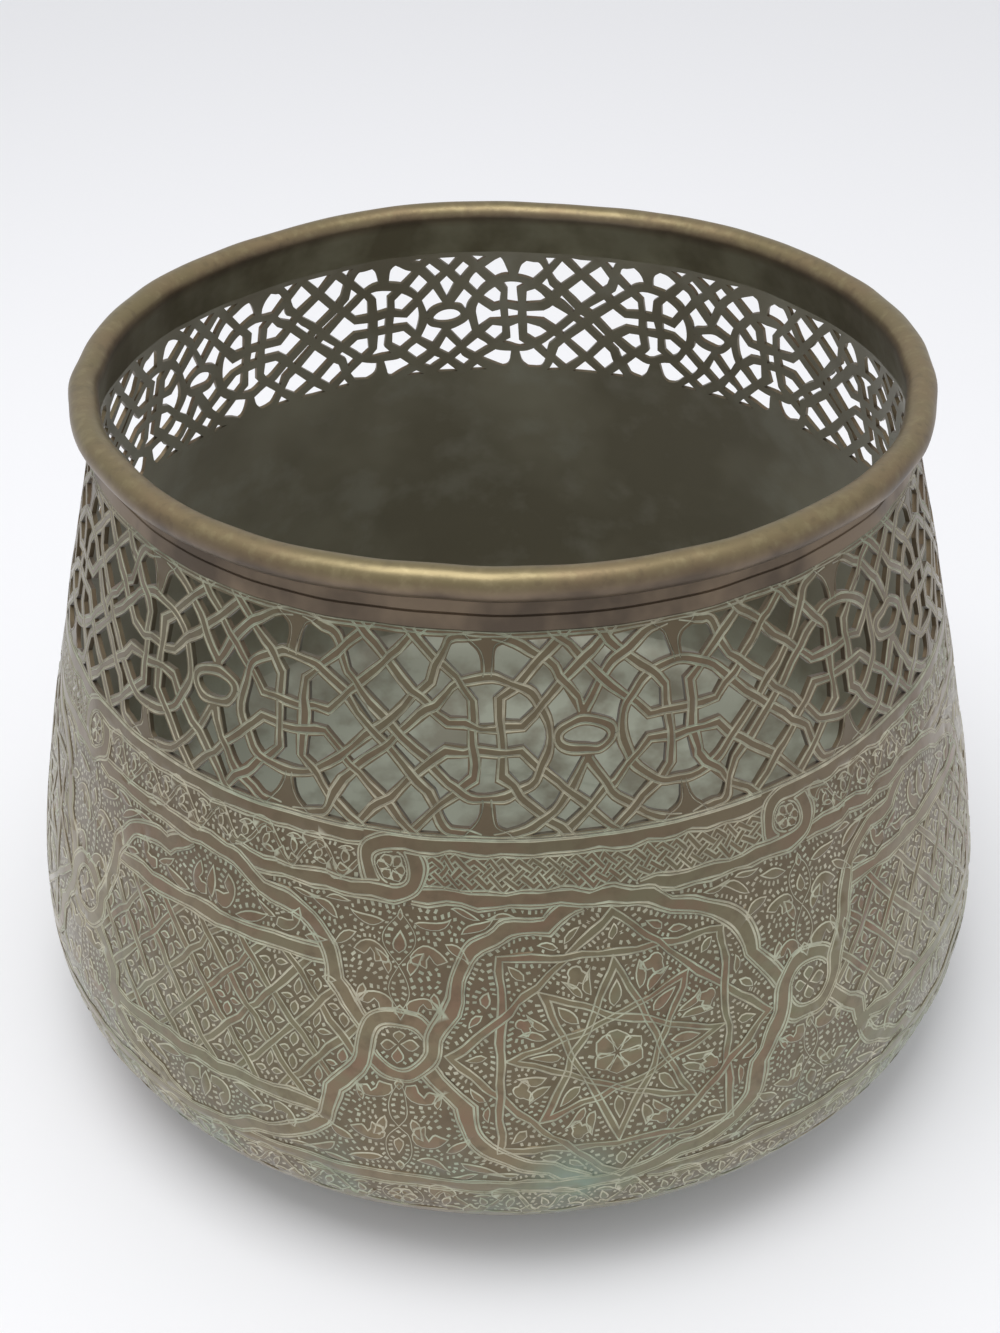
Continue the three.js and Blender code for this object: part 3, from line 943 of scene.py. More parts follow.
def friezeDesign():
    f = friezeForm
    h = f["halfHeight"]
    radius = float(np.interp(f["middle"], profile[::-1, 1], profile[::-1, 0]))
    repeat = 2 * math.pi * radius / f["repeats"]
    wide = repeat * f["wideShare"]
    narrow = repeat - wide
    lines = (f["lineAside"], -f["lineAside"])
    roundelStraps, roundelFinials = roundelPaths(wide, narrow)
    straps = []
    finials = []
    for middle, mirror in ((0.0, -1), (narrow, 1)):
        for path, tuck in roundelStraps:
            placed = np.array([(middle + mirror * x, y) for x, y in path], float)
            straps.append(newStrap(placed, f["strapHalf"], lines, tuck))
        for finial in roundelFinials:
            finials.append(np.array([(middle + mirror * x, y) for x, y in finial], float))
    angles = np.radians(np.linspace(0, 360, 40, endpoint=False))
    oval = np.column_stack([narrow / 2 + f["eyeLength"] * np.cos(angles), f["eyeHeight"] * np.sin(angles)])
    eyeStraps = [newStrap(np.vstack([oval, oval[:1]]), f["strapHalf"], lines, False)]
    grooves = [(line, f["lineWidth"], False) for line in wovenLines(straps + eyeStraps, repeat)]
    for finial in finials:
        inner = beside(finial, f["finialInset"])
        if not insideOf(inner[len(inner) // 4:len(inner) // 4 + 1], finial)[0]:
            inner = beside(finial, -f["finialInset"])
        middle = len(inner) // 2
        for part in (inner[:middle], inner[middle:]):
            grooves.append((part, f["finialLine"], False))
    foot = f["middle"] - jointHeight
    edges = [
        (-f["top"], f["edgeLine"]),
        (-h - f["edgeAbove"], f["edgeLine"]),
        (h + f["edgeBelow"], f["belowLine"]),
        (foot, f["edgeLine"]),
    ]
    for edge, width in edges:
        grooves.append((np.array([(-5.0, edge), (repeat + 5, edge)]), width, False))
    copies = (-2, -1, 0, 1, 2)
    bands = [bandOf(strap) for strap in straps + eyeStraps]
    # a hair-thin outline along each edge of the openings
    left = -5 - 2 * repeat
    right = 3 * repeat
    edgeBand = np.array([(left, -h), (right, -h), (right, -h - 0.01), (left, -h - 0.01)])
    outlines = bands + finials + [edgeBand, edgeBand * (1, -1)]
    solid = [moved(shape, copy * repeat) for shape in bands + finials for copy in copies]
    spearheads = [moved(shape, copy * repeat) for shape in finials for copy in copies]

    def isOpen(points):
        return (np.abs(points[:, 1]) < h) & ~insideAny(points, solid)

    def isGround(points):
        down = np.abs(points[:, 1])
        return insideAny(points, spearheads) & (down < h + f["edgeBelow"]) & (down > f["ring"] + 3)

    def along(down):
        return alongAt(f["middle"] - down)

    start = narrow + wide / 2
    return {
        "low": (start, -f["top"]),
        "high": (start + repeat, foot),
        "repeat": repeat,
        "repeats": f["repeats"],
        "radius": radius,
        "turn": math.radians(f["turnDegrees"]),
        "depth": f["depth"],
        "groundDepth": f["groundDepth"],
        "grooves": grooves,
        "motifs": [],
        "outlines": outlines,
        "copies": copies,
        "grid": f["grid"],
        "innerGrid": f["innerGrid"],
        "isOpen": isOpen,
        "isGround": isGround,
        "punch": None,
        "along": along,
        "calm": (-f["top"], foot),
        "splits": [],
    }


frieze = friezeDesign()
friezePiece = sheetPiece("pierced_frieze", frieze, cutDrawing(frieze))
print("frieze", len(friezePiece.data.polygons))


# Leaves, buds and petals of the engraving, as closed outlines
def leaf(base, angle, length, width, bend=0.0, full=0.8, count=0):
    # degrees, 0 to the right and 90 up; bend turns the tip round
    count = count or int(np.clip(round(length / 1.9) + 2, 5, 8))
    t = np.linspace(0, 1, count)
    way = np.radians(angle + bend * (t - 0.5))
    steps = np.column_stack([np.cos(way), -np.sin(way)]) * (length / (count - 1))
    spine = np.array(base, float) + np.vstack([[0, 0], np.cumsum(steps[:-1], axis=0)])
    half = width / 2 * np.sin(math.pi * t ** full)
    side = np.column_stack([np.sin(way), np.cos(way)]) * half[:, None]
    return np.vstack([spine + side, (spine - side)[-2:0:-1]])


def halfPalmette(base, angle, length, width, bend, side=1):
    # a leaf with a plain back and a notched front
    t = np.linspace(0, 1, 10)
    way = np.radians(angle + side * bend * (t - 0.3))
    steps = np.column_stack([np.cos(way), -np.sin(way)]) * (length / 9)
    spine = np.array(base, float) + np.vstack([[0, 0], np.cumsum(steps[:-1], axis=0)])
    across = np.column_stack([np.sin(way), np.cos(way)]) * side
    back = width * 0.5 * np.sin(math.pi * t ** 0.7)
    front = width * (0.62 * np.abs(np.sin(math.pi * np.minimum(t / 0.52, 1))) * (t < 0.52)
                     + 0.42 * np.abs(np.sin(math.pi * np.clip((t - 0.52) / 0.48, 0, 1))) * (t >= 0.52))
    return np.vstack([spine + across * back[:, None], (spine - across * front[:, None])[-2:0:-1]])


def trefoil(base, angle, size):
    turn = np.radians(np.linspace(0, 360, 20, endpoint=False))
    reach = size * (0.3 + 0.26 * np.abs(np.cos(1.5 * turn)) ** 0.8 + 0.08 * np.cos(turn))
    way = math.radians(angle)
    centre = np.array(base, float) + np.array([math.cos(way), -math.sin(way)]) * size * 0.42
    return centre + np.column_stack([reach * np.cos(turn + way), -reach * np.sin(turn + way)])


def atAngle(centre, radius, angle):                       # degrees, 0 to the right and 90 up
    way = math.radians(angle)
    return (centre[0] + radius * math.cos(way), centre[1] - radius * math.sin(way))


def rosette(centre, petals, inner, outer, width, turn=0.0):
    shapes = []
    for k in range(petals):
        angle = turn + 360 * k / petals
        shapes.append(leaf(atAngle(centre, inner, angle), angle, outer - inner, width, 0, 1.35, 7))
    return shapes


def mirrored(shape, middle=0.0):                          # left for right
    return np.column_stack([2 * middle - shape[:, 0], shape[:, 1]])[::-1]


def upended(shape, middle):                               # top for bottom
    return np.column_stack([shape[:, 0], 2 * middle - shape[:, 1]])[::-1]


# Engraved belly: two bands with eight cartouches between them, mm down the wall from its start
bellyForm = {
    "rings": ("upper_band", "upper_cartouches", "lower_cartouches", "lower_band"),
    "start": 165.1,
    "repeats": 4,                # one star and one lattice cartouche in each
    "starDegrees": 11.2,         # where the middle of a star cartouche lies
    "radius": 159.6,
    "end": 141.0,
    "strapHalf": 3.15,
    "strapLines": (2.9, 1.98, -1.98, -2.9),
    "lineWidth": 0.72,
    "fineWidth": 0.58,
    "depth": 0.26,
    "groundDepth": 0.26,
    "motifEdge": 0.46,           # width of the slope round a leaf
    "stemHalf": 0.55,
    "stemLine": 0.34,
    "ringLine": 0.42,
    "edgeLine": 0.7,
    "borderAside": 2.3,          # lines of the lowest strap from its middle
    "vineRoom": 2.6,             # from the middle of a band's strap to the vine beside it
    "vineRoomLow": 2.4,
    "grid": 5.0,
    "innerGrid": 6.0,
    "seamAside": 13.0,           # keeps the seam between two repeats off the knots
    # the strokes of the punch that fill the ground
    "punch": {
        "row": 1.3,              # from an outline to the row that follows it
        "clear": 0.85,           # no stroke's middle is nearer to an outline
        "gap": 0.38,
        "pitch": 1.95,
        "fill": 1.0,             # mesh of the places tried over the rest of the ground
        "apart": 1.75,
        "half": 0.64,
        "halfWide": 0.42,
        "depth": 0.12,
        "seed": 3,
    },
    "upperBand": (2.8, 18.85),   # middles of the straps of the upper band
    "lowerBand": (121.1, 138.6),
    "bandKnot": 65.5,            # from the middle of a cartouche to the knot on its left
    "knotRing": 8.03,
    "linkRing": 10.0,
    "linkDown": 69.0,
    "star": {"down": 71.5, "outer": 47.5, "inner": 30.4, "half": 1.35, "line": 1.02, "rosette": 7.9},
    "plait": {"top": 6.6, "foot": 15.2, "strands": 4, "half": 1.0, "line": 0.78},
    "lattice": {"top": 42.9, "foot": 96.2, "middle": 69.5, "pitch": 15.4, "slope": 1.25, "half": 1.35,
                "line": 1.02, "leafReach": 22.5},
}


def cartoucheStraps(middle, half):
    # the outline of one cartouche in four straps, which also tie it to its neighbours, and the band above
    b = bellyForm
    band, low = b["upperBand"][1], b["lowerBand"][0]
    knot, ring, down = -b["bandKnot"], b["linkRing"], b["linkDown"]
    link = half / 2
    top = joined(
        [(knot + 6.4, band), (-14, band)],
        through([(-14, band), (-4, 19.1), (3.6, 20.0), (11.5, 22.7), (17.9, 26.4)]),
        through([(17.9, 26.4), (25, 27.9), (31.3, 31), (37.2, 35.2), (40.9, 40), (42.8, 45), (43.3, 49.8)]),
        through([(43.3, 49.8), (46.2, 53.6), (49.4, 58.6), (52.4, 63.8)]),
    )
    bottom = joined(
        [(8.5 - half, low), (-14, low)],
        through([(-14, low), (-4, 120.9), (3.6, 120), (11.5, 117.3), (17.9, 113.8)]),
        through([(17.9, 113.8), (25, 112.2), (31.3, 109), (37.2, 104.8), (40.9, 100), (42.6, 94),
                 (43.1, 88.6)]),
        through([(43.1, 88.6), (46.5, 84.4), (49.8, 79.3), (52.1, 74), (link - ring, down)]),
        arc((link, down), ring, 180, 22),
    )
    left = joined(
        through([(-9.5, 20.6), (-12.8, 22.2), (-16.6, 24.8), (-19.5, 27.8)]),
        through([(-19.5, 27.8), (-26, 27.7), (-32.5, 29.2), (-38.5, 32.8), (-43, 38.3), (-45.4, 45),
                 (-46.3, 51.5)]),
        through([(-46.3, 51.5), (-47.8, 56), (-50, 60.6), (-52.1, 65), (ring - link, down)]),
        arc((-link, down), ring, 0, -158),
    )
    foot = joined(
        through([(-54.4, 76), (-51.6, 79.7), (-47.5, 84.3), (-43.1, 88.6)]),
        through([(-43.1, 88.6), (-42.6, 94), (-40.9, 100), (-37.2, 104.8), (-31.3, 109), (-25, 112.2),
                 (-19.5, 113)]),
        through([(-19.5, 113), (-15.8, 116.4), (-12, 118.6), (-8.6, 119.6)]),
    )
    knotRight = half + knot
    head, curl = b["upperBand"][0], b["knotRing"]
    bandFoot = joined([(8.5, band), (knotRight, band)], arc((knotRight, band - curl), curl, -90, 86))
    headStart = knotRight - curl - 1.2
    bandHead = joined([(headStart, head), (knot, head)], arc((knot, head + curl), curl, 90, 262))
    return [newStrap(moved(path, middle), b["strapHalf"], b["strapLines"])
            for path in (top, bottom, left, foot, bandFoot, bandHead)]


def starStraps(middle):
    s = bellyForm["star"]
    centre = np.array([middle, s["down"]])
    straps = []
    for radius, step, start in ((s["outer"], 2, 0), (s["outer"], 2, 1), (s["inner"], 3, 0)):
        corners = 8 if step == 3 else 4
        spots = np.array([atAngle(centre, radius, 45 * (start + k * step)) for k in range(corners)])
        first = (spots[0] + spots[1]) / 2
        straps.append(newStrap(np.vstack([first, spots[1:], spots[:1], first]), s["half"],
                               (s["line"], -s["line"]), False))
    return straps


def starLeaves(middle):
    s = bellyForm["star"]
    centre = np.array([middle, s["down"]])
    shapes = rosette(centre, 6, 0.7, s["rosette"], 7.2, 30)
    for k in range(8):
        even, odd = 45 * k, 45 * k + 22.5
        shapes.append(leaf(atAngle(centre, 37.4, even), even, 6.4, 3.4, 0, 0.75))
        shapes.append(leaf(atAngle(centre, 15.8, even), even, 9.2, 3.6, 0, 0.75))
        shapes.append(trefoil(atAngle(centre, 26.4, odd), odd, 6.2))
        for side in (1, -1):
            inner = atAngle(centre, 21.2, odd + side * 4)
            outer = atAngle(centre, 40.6, odd + side * 1.5)
            shapes.append(leaf(inner, odd + side * 24, 9.5, 3.0, side * 50))
            shapes.append(leaf(outer, odd + side * 74, 6.6, 2.6, side * 36))
    return shapes


def plaitStraps(middle, half):
    # strands that run to and fro between the two straps of the band
    b, p = bellyForm, bellyForm["plait"]
    rise = p["foot"] - p["top"]
    start = -b["bandKnot"] + b["knotRing"] - 1.4
    end = half - b["bandKnot"] - b["knotRing"] + 1.4
    straps = []
    for strand in range(p["strands"]):
        u = start - 2 * rise * (1 + strand / p["strands"])
        path = [(u, p["top"])]
        down = True
        while u < end + 2 * rise:
            u += rise * 1.02
            path.append((u, p["foot"] if down else p["top"]))
            down = not down
        for part in clipped(np.array(path), (start, 0), (end, 40)):
            straps.append(newStrap(moved(part, middle), p["half"], (p["line"], -p["line"])))
    return straps


def vineLeaves(low, high, top, foot):
    # a wavy stem with a leaf in each bend
    middle = (top + foot) / 2
    reach = (foot - top) / 2
    count = 2 * int(round((high - low) / 18.4))
    bay = (high - low) / count
    points = [(low + bay * (k + 0.5), middle + (reach - 1.3) * (1 if k % 2 else -1)) for k in range(count)]
    stem = through([(low, middle)] + points + [(high, middle)], 0.9)
    shapes = []
    for k, (u, w) in enumerate(points):
        up = 1 if k % 2 else -1                           # the bend opens the other way
        back = (u - 0.62 * bay, w - up * 1.1)
        shapes.append(halfPalmette(back, -up * 8, bay * 0.95, reach * 1.05, 60, up))
        shapes.append(leaf((u + 0.1 * bay, w - up * 2.3), up * 100, reach * 0.95, 2.6, 30))
        across = (u + 0.42 * bay, middle - up * (reach - 2.1))
        shapes.append(leaf(across, 180 + up * 10, bay * 0.62, 2.0, 20))
    return stem, shapes


def latticeStraps(middle):
    # a slanting lattice between the two level straps of the second kind of cartouche
    b = bellyForm
    g = b["lattice"]
    outline = np.array([
        (-46, 51.5), (-50, 60.6), (-52.7, 69), (-50.5, 78), (-43.5, 88.4), (-42, g["foot"]),
        (42, g["foot"]), (43.5, 88.4), (50.5, 78), (52.7, 69), (50, 60.6), (43.4, 49.8),
        (42, g["top"]), (-43.8, g["top"]),
    ], float)
    rise = 40                                             # taller than the panel
    run = rise / g["slope"]
    straps = []
    for side in (1, -1):
        for k in range(-9, 10):
            first = np.array([k * g["pitch"] - side * run, g["middle"] - rise])
            last = np.array([k * g["pitch"] + side * run, g["middle"] + rise])
            path = evenly(np.array([first, last]), 0.4)
            inside = insideOf(path, outline)
            if inside.sum() > 12:
                ends = path[inside][[0, -1]]
                straps.append(newStrap(moved(ends, middle), g["half"], (g["line"], -g["line"])))
    levels = []
    for down, reach in ((g["top"], 44.6), (g["foot"], 42.2)):
        path = [(middle - reach, down), (middle + reach, down)]
        levels.append(newStrap(path, b["strapHalf"], b["strapLines"]))
    return straps, levels, moved(outline, middle)


def latticeLeaves(middle, outline):
    # four small leaves in each cell, and larger ones above and below the lattice
    g = bellyForm["lattice"]
    shapes = []
    for row in range(-6, 7):
        for column in range(-9, 10):
            u = middle + (column + 0.5 * ((row + 1) % 2)) * g["pitch"]
            w = g["middle"] + row * g["pitch"] * g["slope"] / 2
            cell = [
                leaf((u, w - 0.9), 90, 5.6, 3.0, 0, 0.85),
                leaf((u, w + 0.9), 270, 5.6, 3.0, 0, 0.85),
                leaf((u + 0.9, w), 0, 4.2, 2.4, 0, 0.85),
                leaf((u - 0.9, w), 180, 4.2, 2.4, 0, 0.85),
            ]
            for shape in cell:
                reach = np.abs(shape[:, 1] - g["middle"]).max()
                if insideOf(shape, outline).all() and reach < g["leafReach"]:
                    shapes.append(shape)
    right = [
        halfPalmette((2.2, 38.2), 62, 13, 5.4, 90, 1),
        leaf((9.5, 38.6), 20, 12, 3.4, 30),
        leaf((0, 38.4), 90, 12.4, 3.6),
        halfPalmette((24, 38.2), 40, 11, 4.4, 70, 1),
        leaf((24, 35.4), 150, 9.0, 2.8, -30),
        leaf((33, 38.8), 10, 7.5, 2.4, 20),
    ]
    for shape in right:
        for whole in (shape, mirrored(shape)):
            shapes.append(moved(whole, middle))
            shapes.append(moved(upended(whole, 69.6), middle))
    return shapes


def linkLeaves(centre):
    # the arabesque above and below the roundel that ties two cartouches
    d = bellyForm["linkDown"]
    shapes = rosette((0, d), 4, 0.6, 5.9, 4.2, 90)
    right = [
        halfPalmette((2.0, 56.6), 20, 11.5, 5.2, 95, -1),
        leaf((3.4, 45.2), 58, 9.0, 3.2, -50),
        halfPalmette((3.8, 41.4), 28, 12.0, 6.2, 95, -1),
        leaf((4.6, 28.2), 16, 11, 3.2, 36),
        leaf((13.2, 33.4), -38, 9.5, 3.4, -30),
        leaf((18.6, 30.2), 28, 11.5, 3.0, -22),
        leaf((23.4, 24.6), 172, 9.0, 2.2, 10),
        leaf((10.4, 50.0), -66, 7.0, 2.6, 36),
        leaf((34.2, 24.9), 176, 9.5, 2.0, -8),
    ]
    middle = [
        leaf((0, 59.6), 90, 5.0, 3.0, 0, 1.2),
        leaf((0, 37.4), 90, 6.8, 3.4, 0, 0.7),
        leaf((0, 28.0), 90, 4.6, 2.2),
    ]
    ovals = [
        leaf((0, 57.4), 90, 15.4, 6.0, 0, 1.0, 13),
        leaf((0, 41.8), 90, 17.0, 8.4, 0, 1.0, 13),
    ]
    every = middle + right + [mirrored(shape) for shape in right]
    shapes += every + [upended(shape, d + 1.1) for shape in every]
    lines = ovals + [upended(shape, d + 1.1) for shape in ovals]
    return [moved(shape, centre) for shape in shapes], [moved(line, centre) for line in lines]


def bellyDesign():
    b = bellyForm
    repeat = 2 * math.pi * b["radius"] / b["repeats"]
    half = repeat / 2
    outlineStraps = cartoucheStraps(0, half) + cartoucheStraps(half, half)
    lattice, levels, panel = latticeStraps(half)
    star = starStraps(0)
    plait = plaitStraps(0, half)
    head, foot = b["upperBand"][0], b["lowerBand"][1]
    border = newStrap([(-half, foot), (half * 2, foot)], b["strapHalf"], b["strapLines"], False)
    tied = outlineStraps + levels
    grooves = [(line, b["lineWidth"], False) for line in wovenLines(tied, repeat)]
    for straps, above in ((lattice, tied), (plait, tied), (star, ())):
        grooves += [(line, b["fineWidth"], False) for line in wovenLines(straps, repeat, (0,), above)]
    for side in (b["borderAside"], -b["borderAside"]):
        grooves.append((beside(border["path"], side), b["lineWidth"], False))
    knotLeft = -b["bandKnot"]
    knotRoom = b["knotRing"] + 3
    vineEnds = [(knotLeft + half + knotRoom, knotLeft + repeat - knotRoom)]
    vineEnds += [(left + 9, left + half - 9) for left in (-half / 2, half / 2)]
    upper = (head + b["vineRoom"], b["upperBand"][1] - b["vineRoom"])
    lower = (b["lowerBand"][0] + b["vineRoom"], foot - b["vineRoomLow"])
    stems = []
    motifs = []
    for (left, right), (top, bottom) in zip(vineEnds, (upper, lower, lower)):
        stem, shapes = vineLeaves(left, right, top, bottom)
        stems.append(stem)
        motifs += shapes
    for stem in stems:
        for side in (b["stemHalf"], -b["stemHalf"]):
            grooves.append((beside(stem, side), b["stemLine"], False))
    rings = []
    for centre in (knotLeft, knotLeft + half):
        motifs += rosette((centre, head + b["knotRing"]), 6, 0.5, 4.7, 4.2)
    for centre in (-half / 2, half / 2):
        middle = (centre, sum(lower) / 2)
        motifs += rosette(middle, 6, 0.5, 4.3, 3.9)
        rings.append(arc(middle, 6.0, 0, 360))
        shapes, lines = linkLeaves(centre)
        motifs += shapes
        rings += [np.vstack([line, line[:1]]) for line in lines]
    grooves += [(ring, b["ringLine"], True) for ring in rings]
    motifs += starLeaves(0) + latticeLeaves(half, panel)
    straps = tied + lattice + star + plait
    bands = [bandOf(strap) for strap in straps] + [bandOf(dict(border, half=2.5))]
    bands += [bandOf(dict(border, path=stem, half=b["stemHalf"])) for stem in stems]
    copies = (-1, 0, 1)
    standing = [moved(shape, copy * repeat) for shape in bands + motifs for copy in copies]

    def isGround(points):
        inField = (points[:, 1] > head) & (points[:, 1] < foot)
        return inField & ~insideAny(points, standing)

    def along(down):
        return start + down

    low = -half / 2 + b["seamAside"]
    start = alongAt(b["start"])
    first = float(alongAt(jointHeight) - start)
    grooves.append((np.array([(low - 5, first), (low + repeat + 5, first)]), b["edgeLine"], False))
    return {
        "low": (low, first),
        "high": (low + repeat, b["end"]),
        "repeat": repeat,
        "repeats": b["repeats"],
        "radius": b["radius"],
        "turn": math.radians(b["starDegrees"]),
        "depth": b["depth"],
        "groundDepth": b["groundDepth"],
        "grooves": grooves,
        "motifs": [(shape, b["motifEdge"]) for shape in motifs],
        "outlines": [],
        "copies": copies,
        "grid": b["grid"],
        "innerGrid": b["innerGrid"],
        "isOpen": None,
        "isGround": isGround,
        "punch": b["punch"],
        "along": along,
        "calm": (first, b["end"]),
        "splits": [b["upperBand"][1], b["linkDown"], b["lowerBand"][0]],
    }


def bellyRings():
    # the belly is drawn once and kept in four rings, so that each stays under 200,000 triangles
    design = bellyDesign()
    cut = cutDrawing(design)
    heights = [design["low"][1]] + design["splits"] + [design["high"][1]]
    rings = []
    for ring, name in enumerate(bellyForm["rings"]):
        low = (design["low"][0], heights[ring])
        high = (design["high"][0], heights[ring + 1])
        part = dict(design, low=low, high=high)
        rings.append(sheetPiece(name, part, partOf(cut, ring)))
    return rings


bellyPieces = bellyRings()
print("belly", [len(piece.data.polygons) for piece in bellyPieces])


# Turned sections: the rolled mouth edge with its collar, the foot and the base
mouthForm = {
    "rollReach": 131.1,          # middle of the roll from the axis
    "rollHeight": 237.3,
    "rollOuter": 4.7,
    "rollHollow": 3.3,
    "rollSweep": 285,            # degrees, from the inside of the mouth over the top and down
    "collarLine": 227.3,         # height of the line incised round the collar
    "lineWidth": 0.7,
    "lineDepth": 0.35,
    "rollSteps": 30,
    "steps": 288,
}


def spunPiece(name, section, steps):
    # a drawn section of (radius, height) in mm, turned once round the axis
    corners = [(radius * mm, 0, height * mm) for radius, height in section]
    edges = [(k, (k + 1) % len(section)) for k in range(len(section))]
    data = bpy.data.meshes.new(name)
    data.from_pydata(corners, edges, [])
    piece = bpy.data.objects.new(name, data)
    bpy.context.collection.objects.link(piece)
    alone(piece)
    bpy.ops.object.mode_set(mode="EDIT")
    bpy.ops.mesh.select_all(action="SELECT")
    bpy.ops.mesh.spin(steps=steps, angle=2 * math.pi, center=(0, 0, 0), axis=(0, 0, 1))
    bpy.ops.mesh.select_all(action="SELECT")
    bpy.ops.mesh.remove_doubles(threshold=1e-6)
    bpy.ops.mesh.normals_make_consistent(inside=False)
    bpy.ops.object.mode_set(mode="OBJECT")
    return piece


def sheetRows(along, depths):                             # radius and height of places on the wall
    return [(-y, z) for x, y, z in wallPoints(np.zeros(len(along)), along, np.array(depths))]


def reshaped(piece, change):                              # moves a piece's corners, in mm
    corners = np.zeros(len(piece.data.vertices) * 3)
    piece.data.vertices.foreach_get("co", corners)
    corners = change(corners.reshape(-1, 3) / mm) * mm
    piece.data.vertices.foreach_set("co", corners.ravel())
    piece.data.update()


def mouthPiece():
    m = mouthForm
    foot = friezeForm["middle"] + friezeForm["top"]
    line, wide, deep = m["collarLine"], m["lineWidth"] / 2, m["lineDepth"]
    # rows of the collar with their depths: one incised line at its foot and one round its middle
    rows = [
        (foot, deep),
        (foot + wide, 0),
        (foot + 2, 0),
        (line - wide, 0),
        (line, deep),
        (line + wide, 0),
        (line + 3, 0),
        (line + 6, 0),
        (m["rollHeight"] - 1, 0),
    ]
    along = alongAt(np.array([height for height, depth in rows]))
    outside = sheetRows(along, [depth for height, depth in rows])
    inside = sheetRows(along[::-1], np.full(len(along), pot["sheet"]))
    turn = np.radians(np.linspace(180, 180 - m["rollSweep"], m["rollSteps"]))

    def roll(radius, angles):
        return [(m["rollReach"] + radius * math.cos(a), m["rollHeight"] + radius * math.sin(a))
                for a in angles]

    section = outside + roll(m["rollHollow"], turn) + roll(m["rollOuter"], turn[::-1]) + inside
    piece = spunPiece("mouth_roll", section, m["steps"])
    reshaped(piece, beaten)
    smoothed(piece)
    return piece


footForm = {"rows": 34, "steps": 240}


def footPiece():
    start = alongAt(bellyForm["start"]) + bellyForm["end"]
    along = np.linspace(start, wallLength, footForm["rows"])
    outside = sheetRows(along, np.zeros(len(along)))
    inside = sheetRows(along, np.full(len(along), pot["sheet"]))
    piece = spunPiece("foot_sheet", outside + inside[::-1], footForm["steps"])
    reshaped(piece, beaten)
    smoothed(piece)
    return piece


baseForm = {
    "radius": 83.6,
    "thickness": 1.6,
    "dish": 0.9,                 # rise of its middle
    "bead": 2.6,                 # width of the braze
    "ridge": 0.5,                # height of the braze
    "wallEdge": 1.4,
    "overrun": 2.4,              # of the braze over the wall's edge
    "lap": 0.12,
    "steps": 192,
}


def basePiece():
    b = baseForm
    radius = b["radius"]
    sprung = [(0, b["dish"]), (radius * 0.5, b["dish"] * 0.8), (radius * 0.86, 0.15)]
    # the braze has run a little over the wall's edge, which hides the joint from above
    end = radius + b["overrun"]
    edge = [(radius, 0), (radius, b["wallEdge"]), (end, b["wallEdge"] + b["lap"])]
    bead = [(end - b["bead"] * (1 - math.cos(a)), b["thickness"] + b["ridge"] * math.sin(a))
            for a in np.radians([15, 45, 75, 110, 145])]
    top = [(reach, b["thickness"] + height) for reach, height in sprung[::-1]]
    piece = spunPiece("base_disc", sprung + edge + bead + top, b["steps"])
    smoothed(piece)
    return piece


mouth = mouthPiece()
foot = footPiece()
base = basePiece()
print("mouth, foot and base")
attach(base, "root")
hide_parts("base_plate")

for piece in [friezePiece, mouth, foot] + bellyPieces:
    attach(piece, "root")
    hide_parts("pierced_wall")


# Finishes
def linear(hexColour):                                    # a colour as read off the screen, for a socket
    parts = [int(hexColour[k:k + 2], 16) / 255 for k in (1, 3, 5)]
    return tuple(c / 12.92 if c <= 0.04045 else ((c + 0.055) / 1.055) ** 2.4 for c in parts) + (1.0,)


def addNode(tree, kind, inputs=None, output=0, **settings):
    # a node with its settings and links; what comes back is one of its outputs
    node = tree.nodes.new(kind)
    for key, value in settings.items():
        setattr(node, key, value)
    for key, value in (inputs or {}).items():
        if isinstance(value, bpy.types.NodeSocket):
            tree.links.new(value, node.inputs[key])
        else:
            node.inputs[key].default_value = value
    return node.outputs[output]


def newFinish(name, look=None):
    # a material with the noises, face marks, shares and bump of its look
    finish = bpy.data.materials.new(name)
    finish.use_nodes = True
    tree = finish.node_tree
    shader = tree.nodes["Principled BSDF"]
    found = {}
    if look:
        place = addNode(tree, "ShaderNodeTexCoord", output="Object")
        found["height"] = addNode(tree, "ShaderNodeSeparateXYZ", {0: place}, "Z")
        for key, (size, detail, rough) in look["noises"].items():
            noise = {"Vector": place, "Scale": 1 / (size * mm), "Detail": detail, "Roughness": rough}
            found[key] = addNode(tree, "ShaderNodeTexNoise", noise, "Fac")
        for key, centre in look.get("spots", {}).items():
            spot = {0: place, 1: [part * mm for part in centre]}
            found[key] = addNode(tree, "ShaderNodeVectorMath", spot, "Value", operation="DISTANCE")
        for key in look.get("marks", ()):
            found[key] = addNode(tree, "ShaderNodeAttribute", output="Fac", attribute_name=key)
        for key, (source, start, end, low, high) in look["shares"].items():
            reach = {"Value": found[source], 1: start, 2: end, 3: low, 4: high}
            found[key] = addNode(tree, "ShaderNodeMapRange", reach)
        for key, (a, b) in look.get("products", {}).items():
            found[key] = addNode(tree, "ShaderNodeMath", {0: found[a], 1: found[b]}, operation="MULTIPLY")
        bump = {}
        for source, strength, rise in look["bumps"]:
            bump.update({"Strength": strength, "Distance": rise * mm, "Height": found[source]})
            bump["Normal"] = addNode(tree, "ShaderNodeBump", bump)
        tree.links.new(bump["Normal"], shader.inputs["Normal"])
    return finish, tree, shader, found


def layered(tree, colour, layers):                        # tones laid over a colour, each by its share
    for share, tone in layers:
        over = linear(tones[tone]) if isinstance(tone, str) else tone
        colour = addNode(tree, "ShaderNodeMix", {0: share, 6: colour, 7: over}, 2, data_type="RGBA")
    return colour


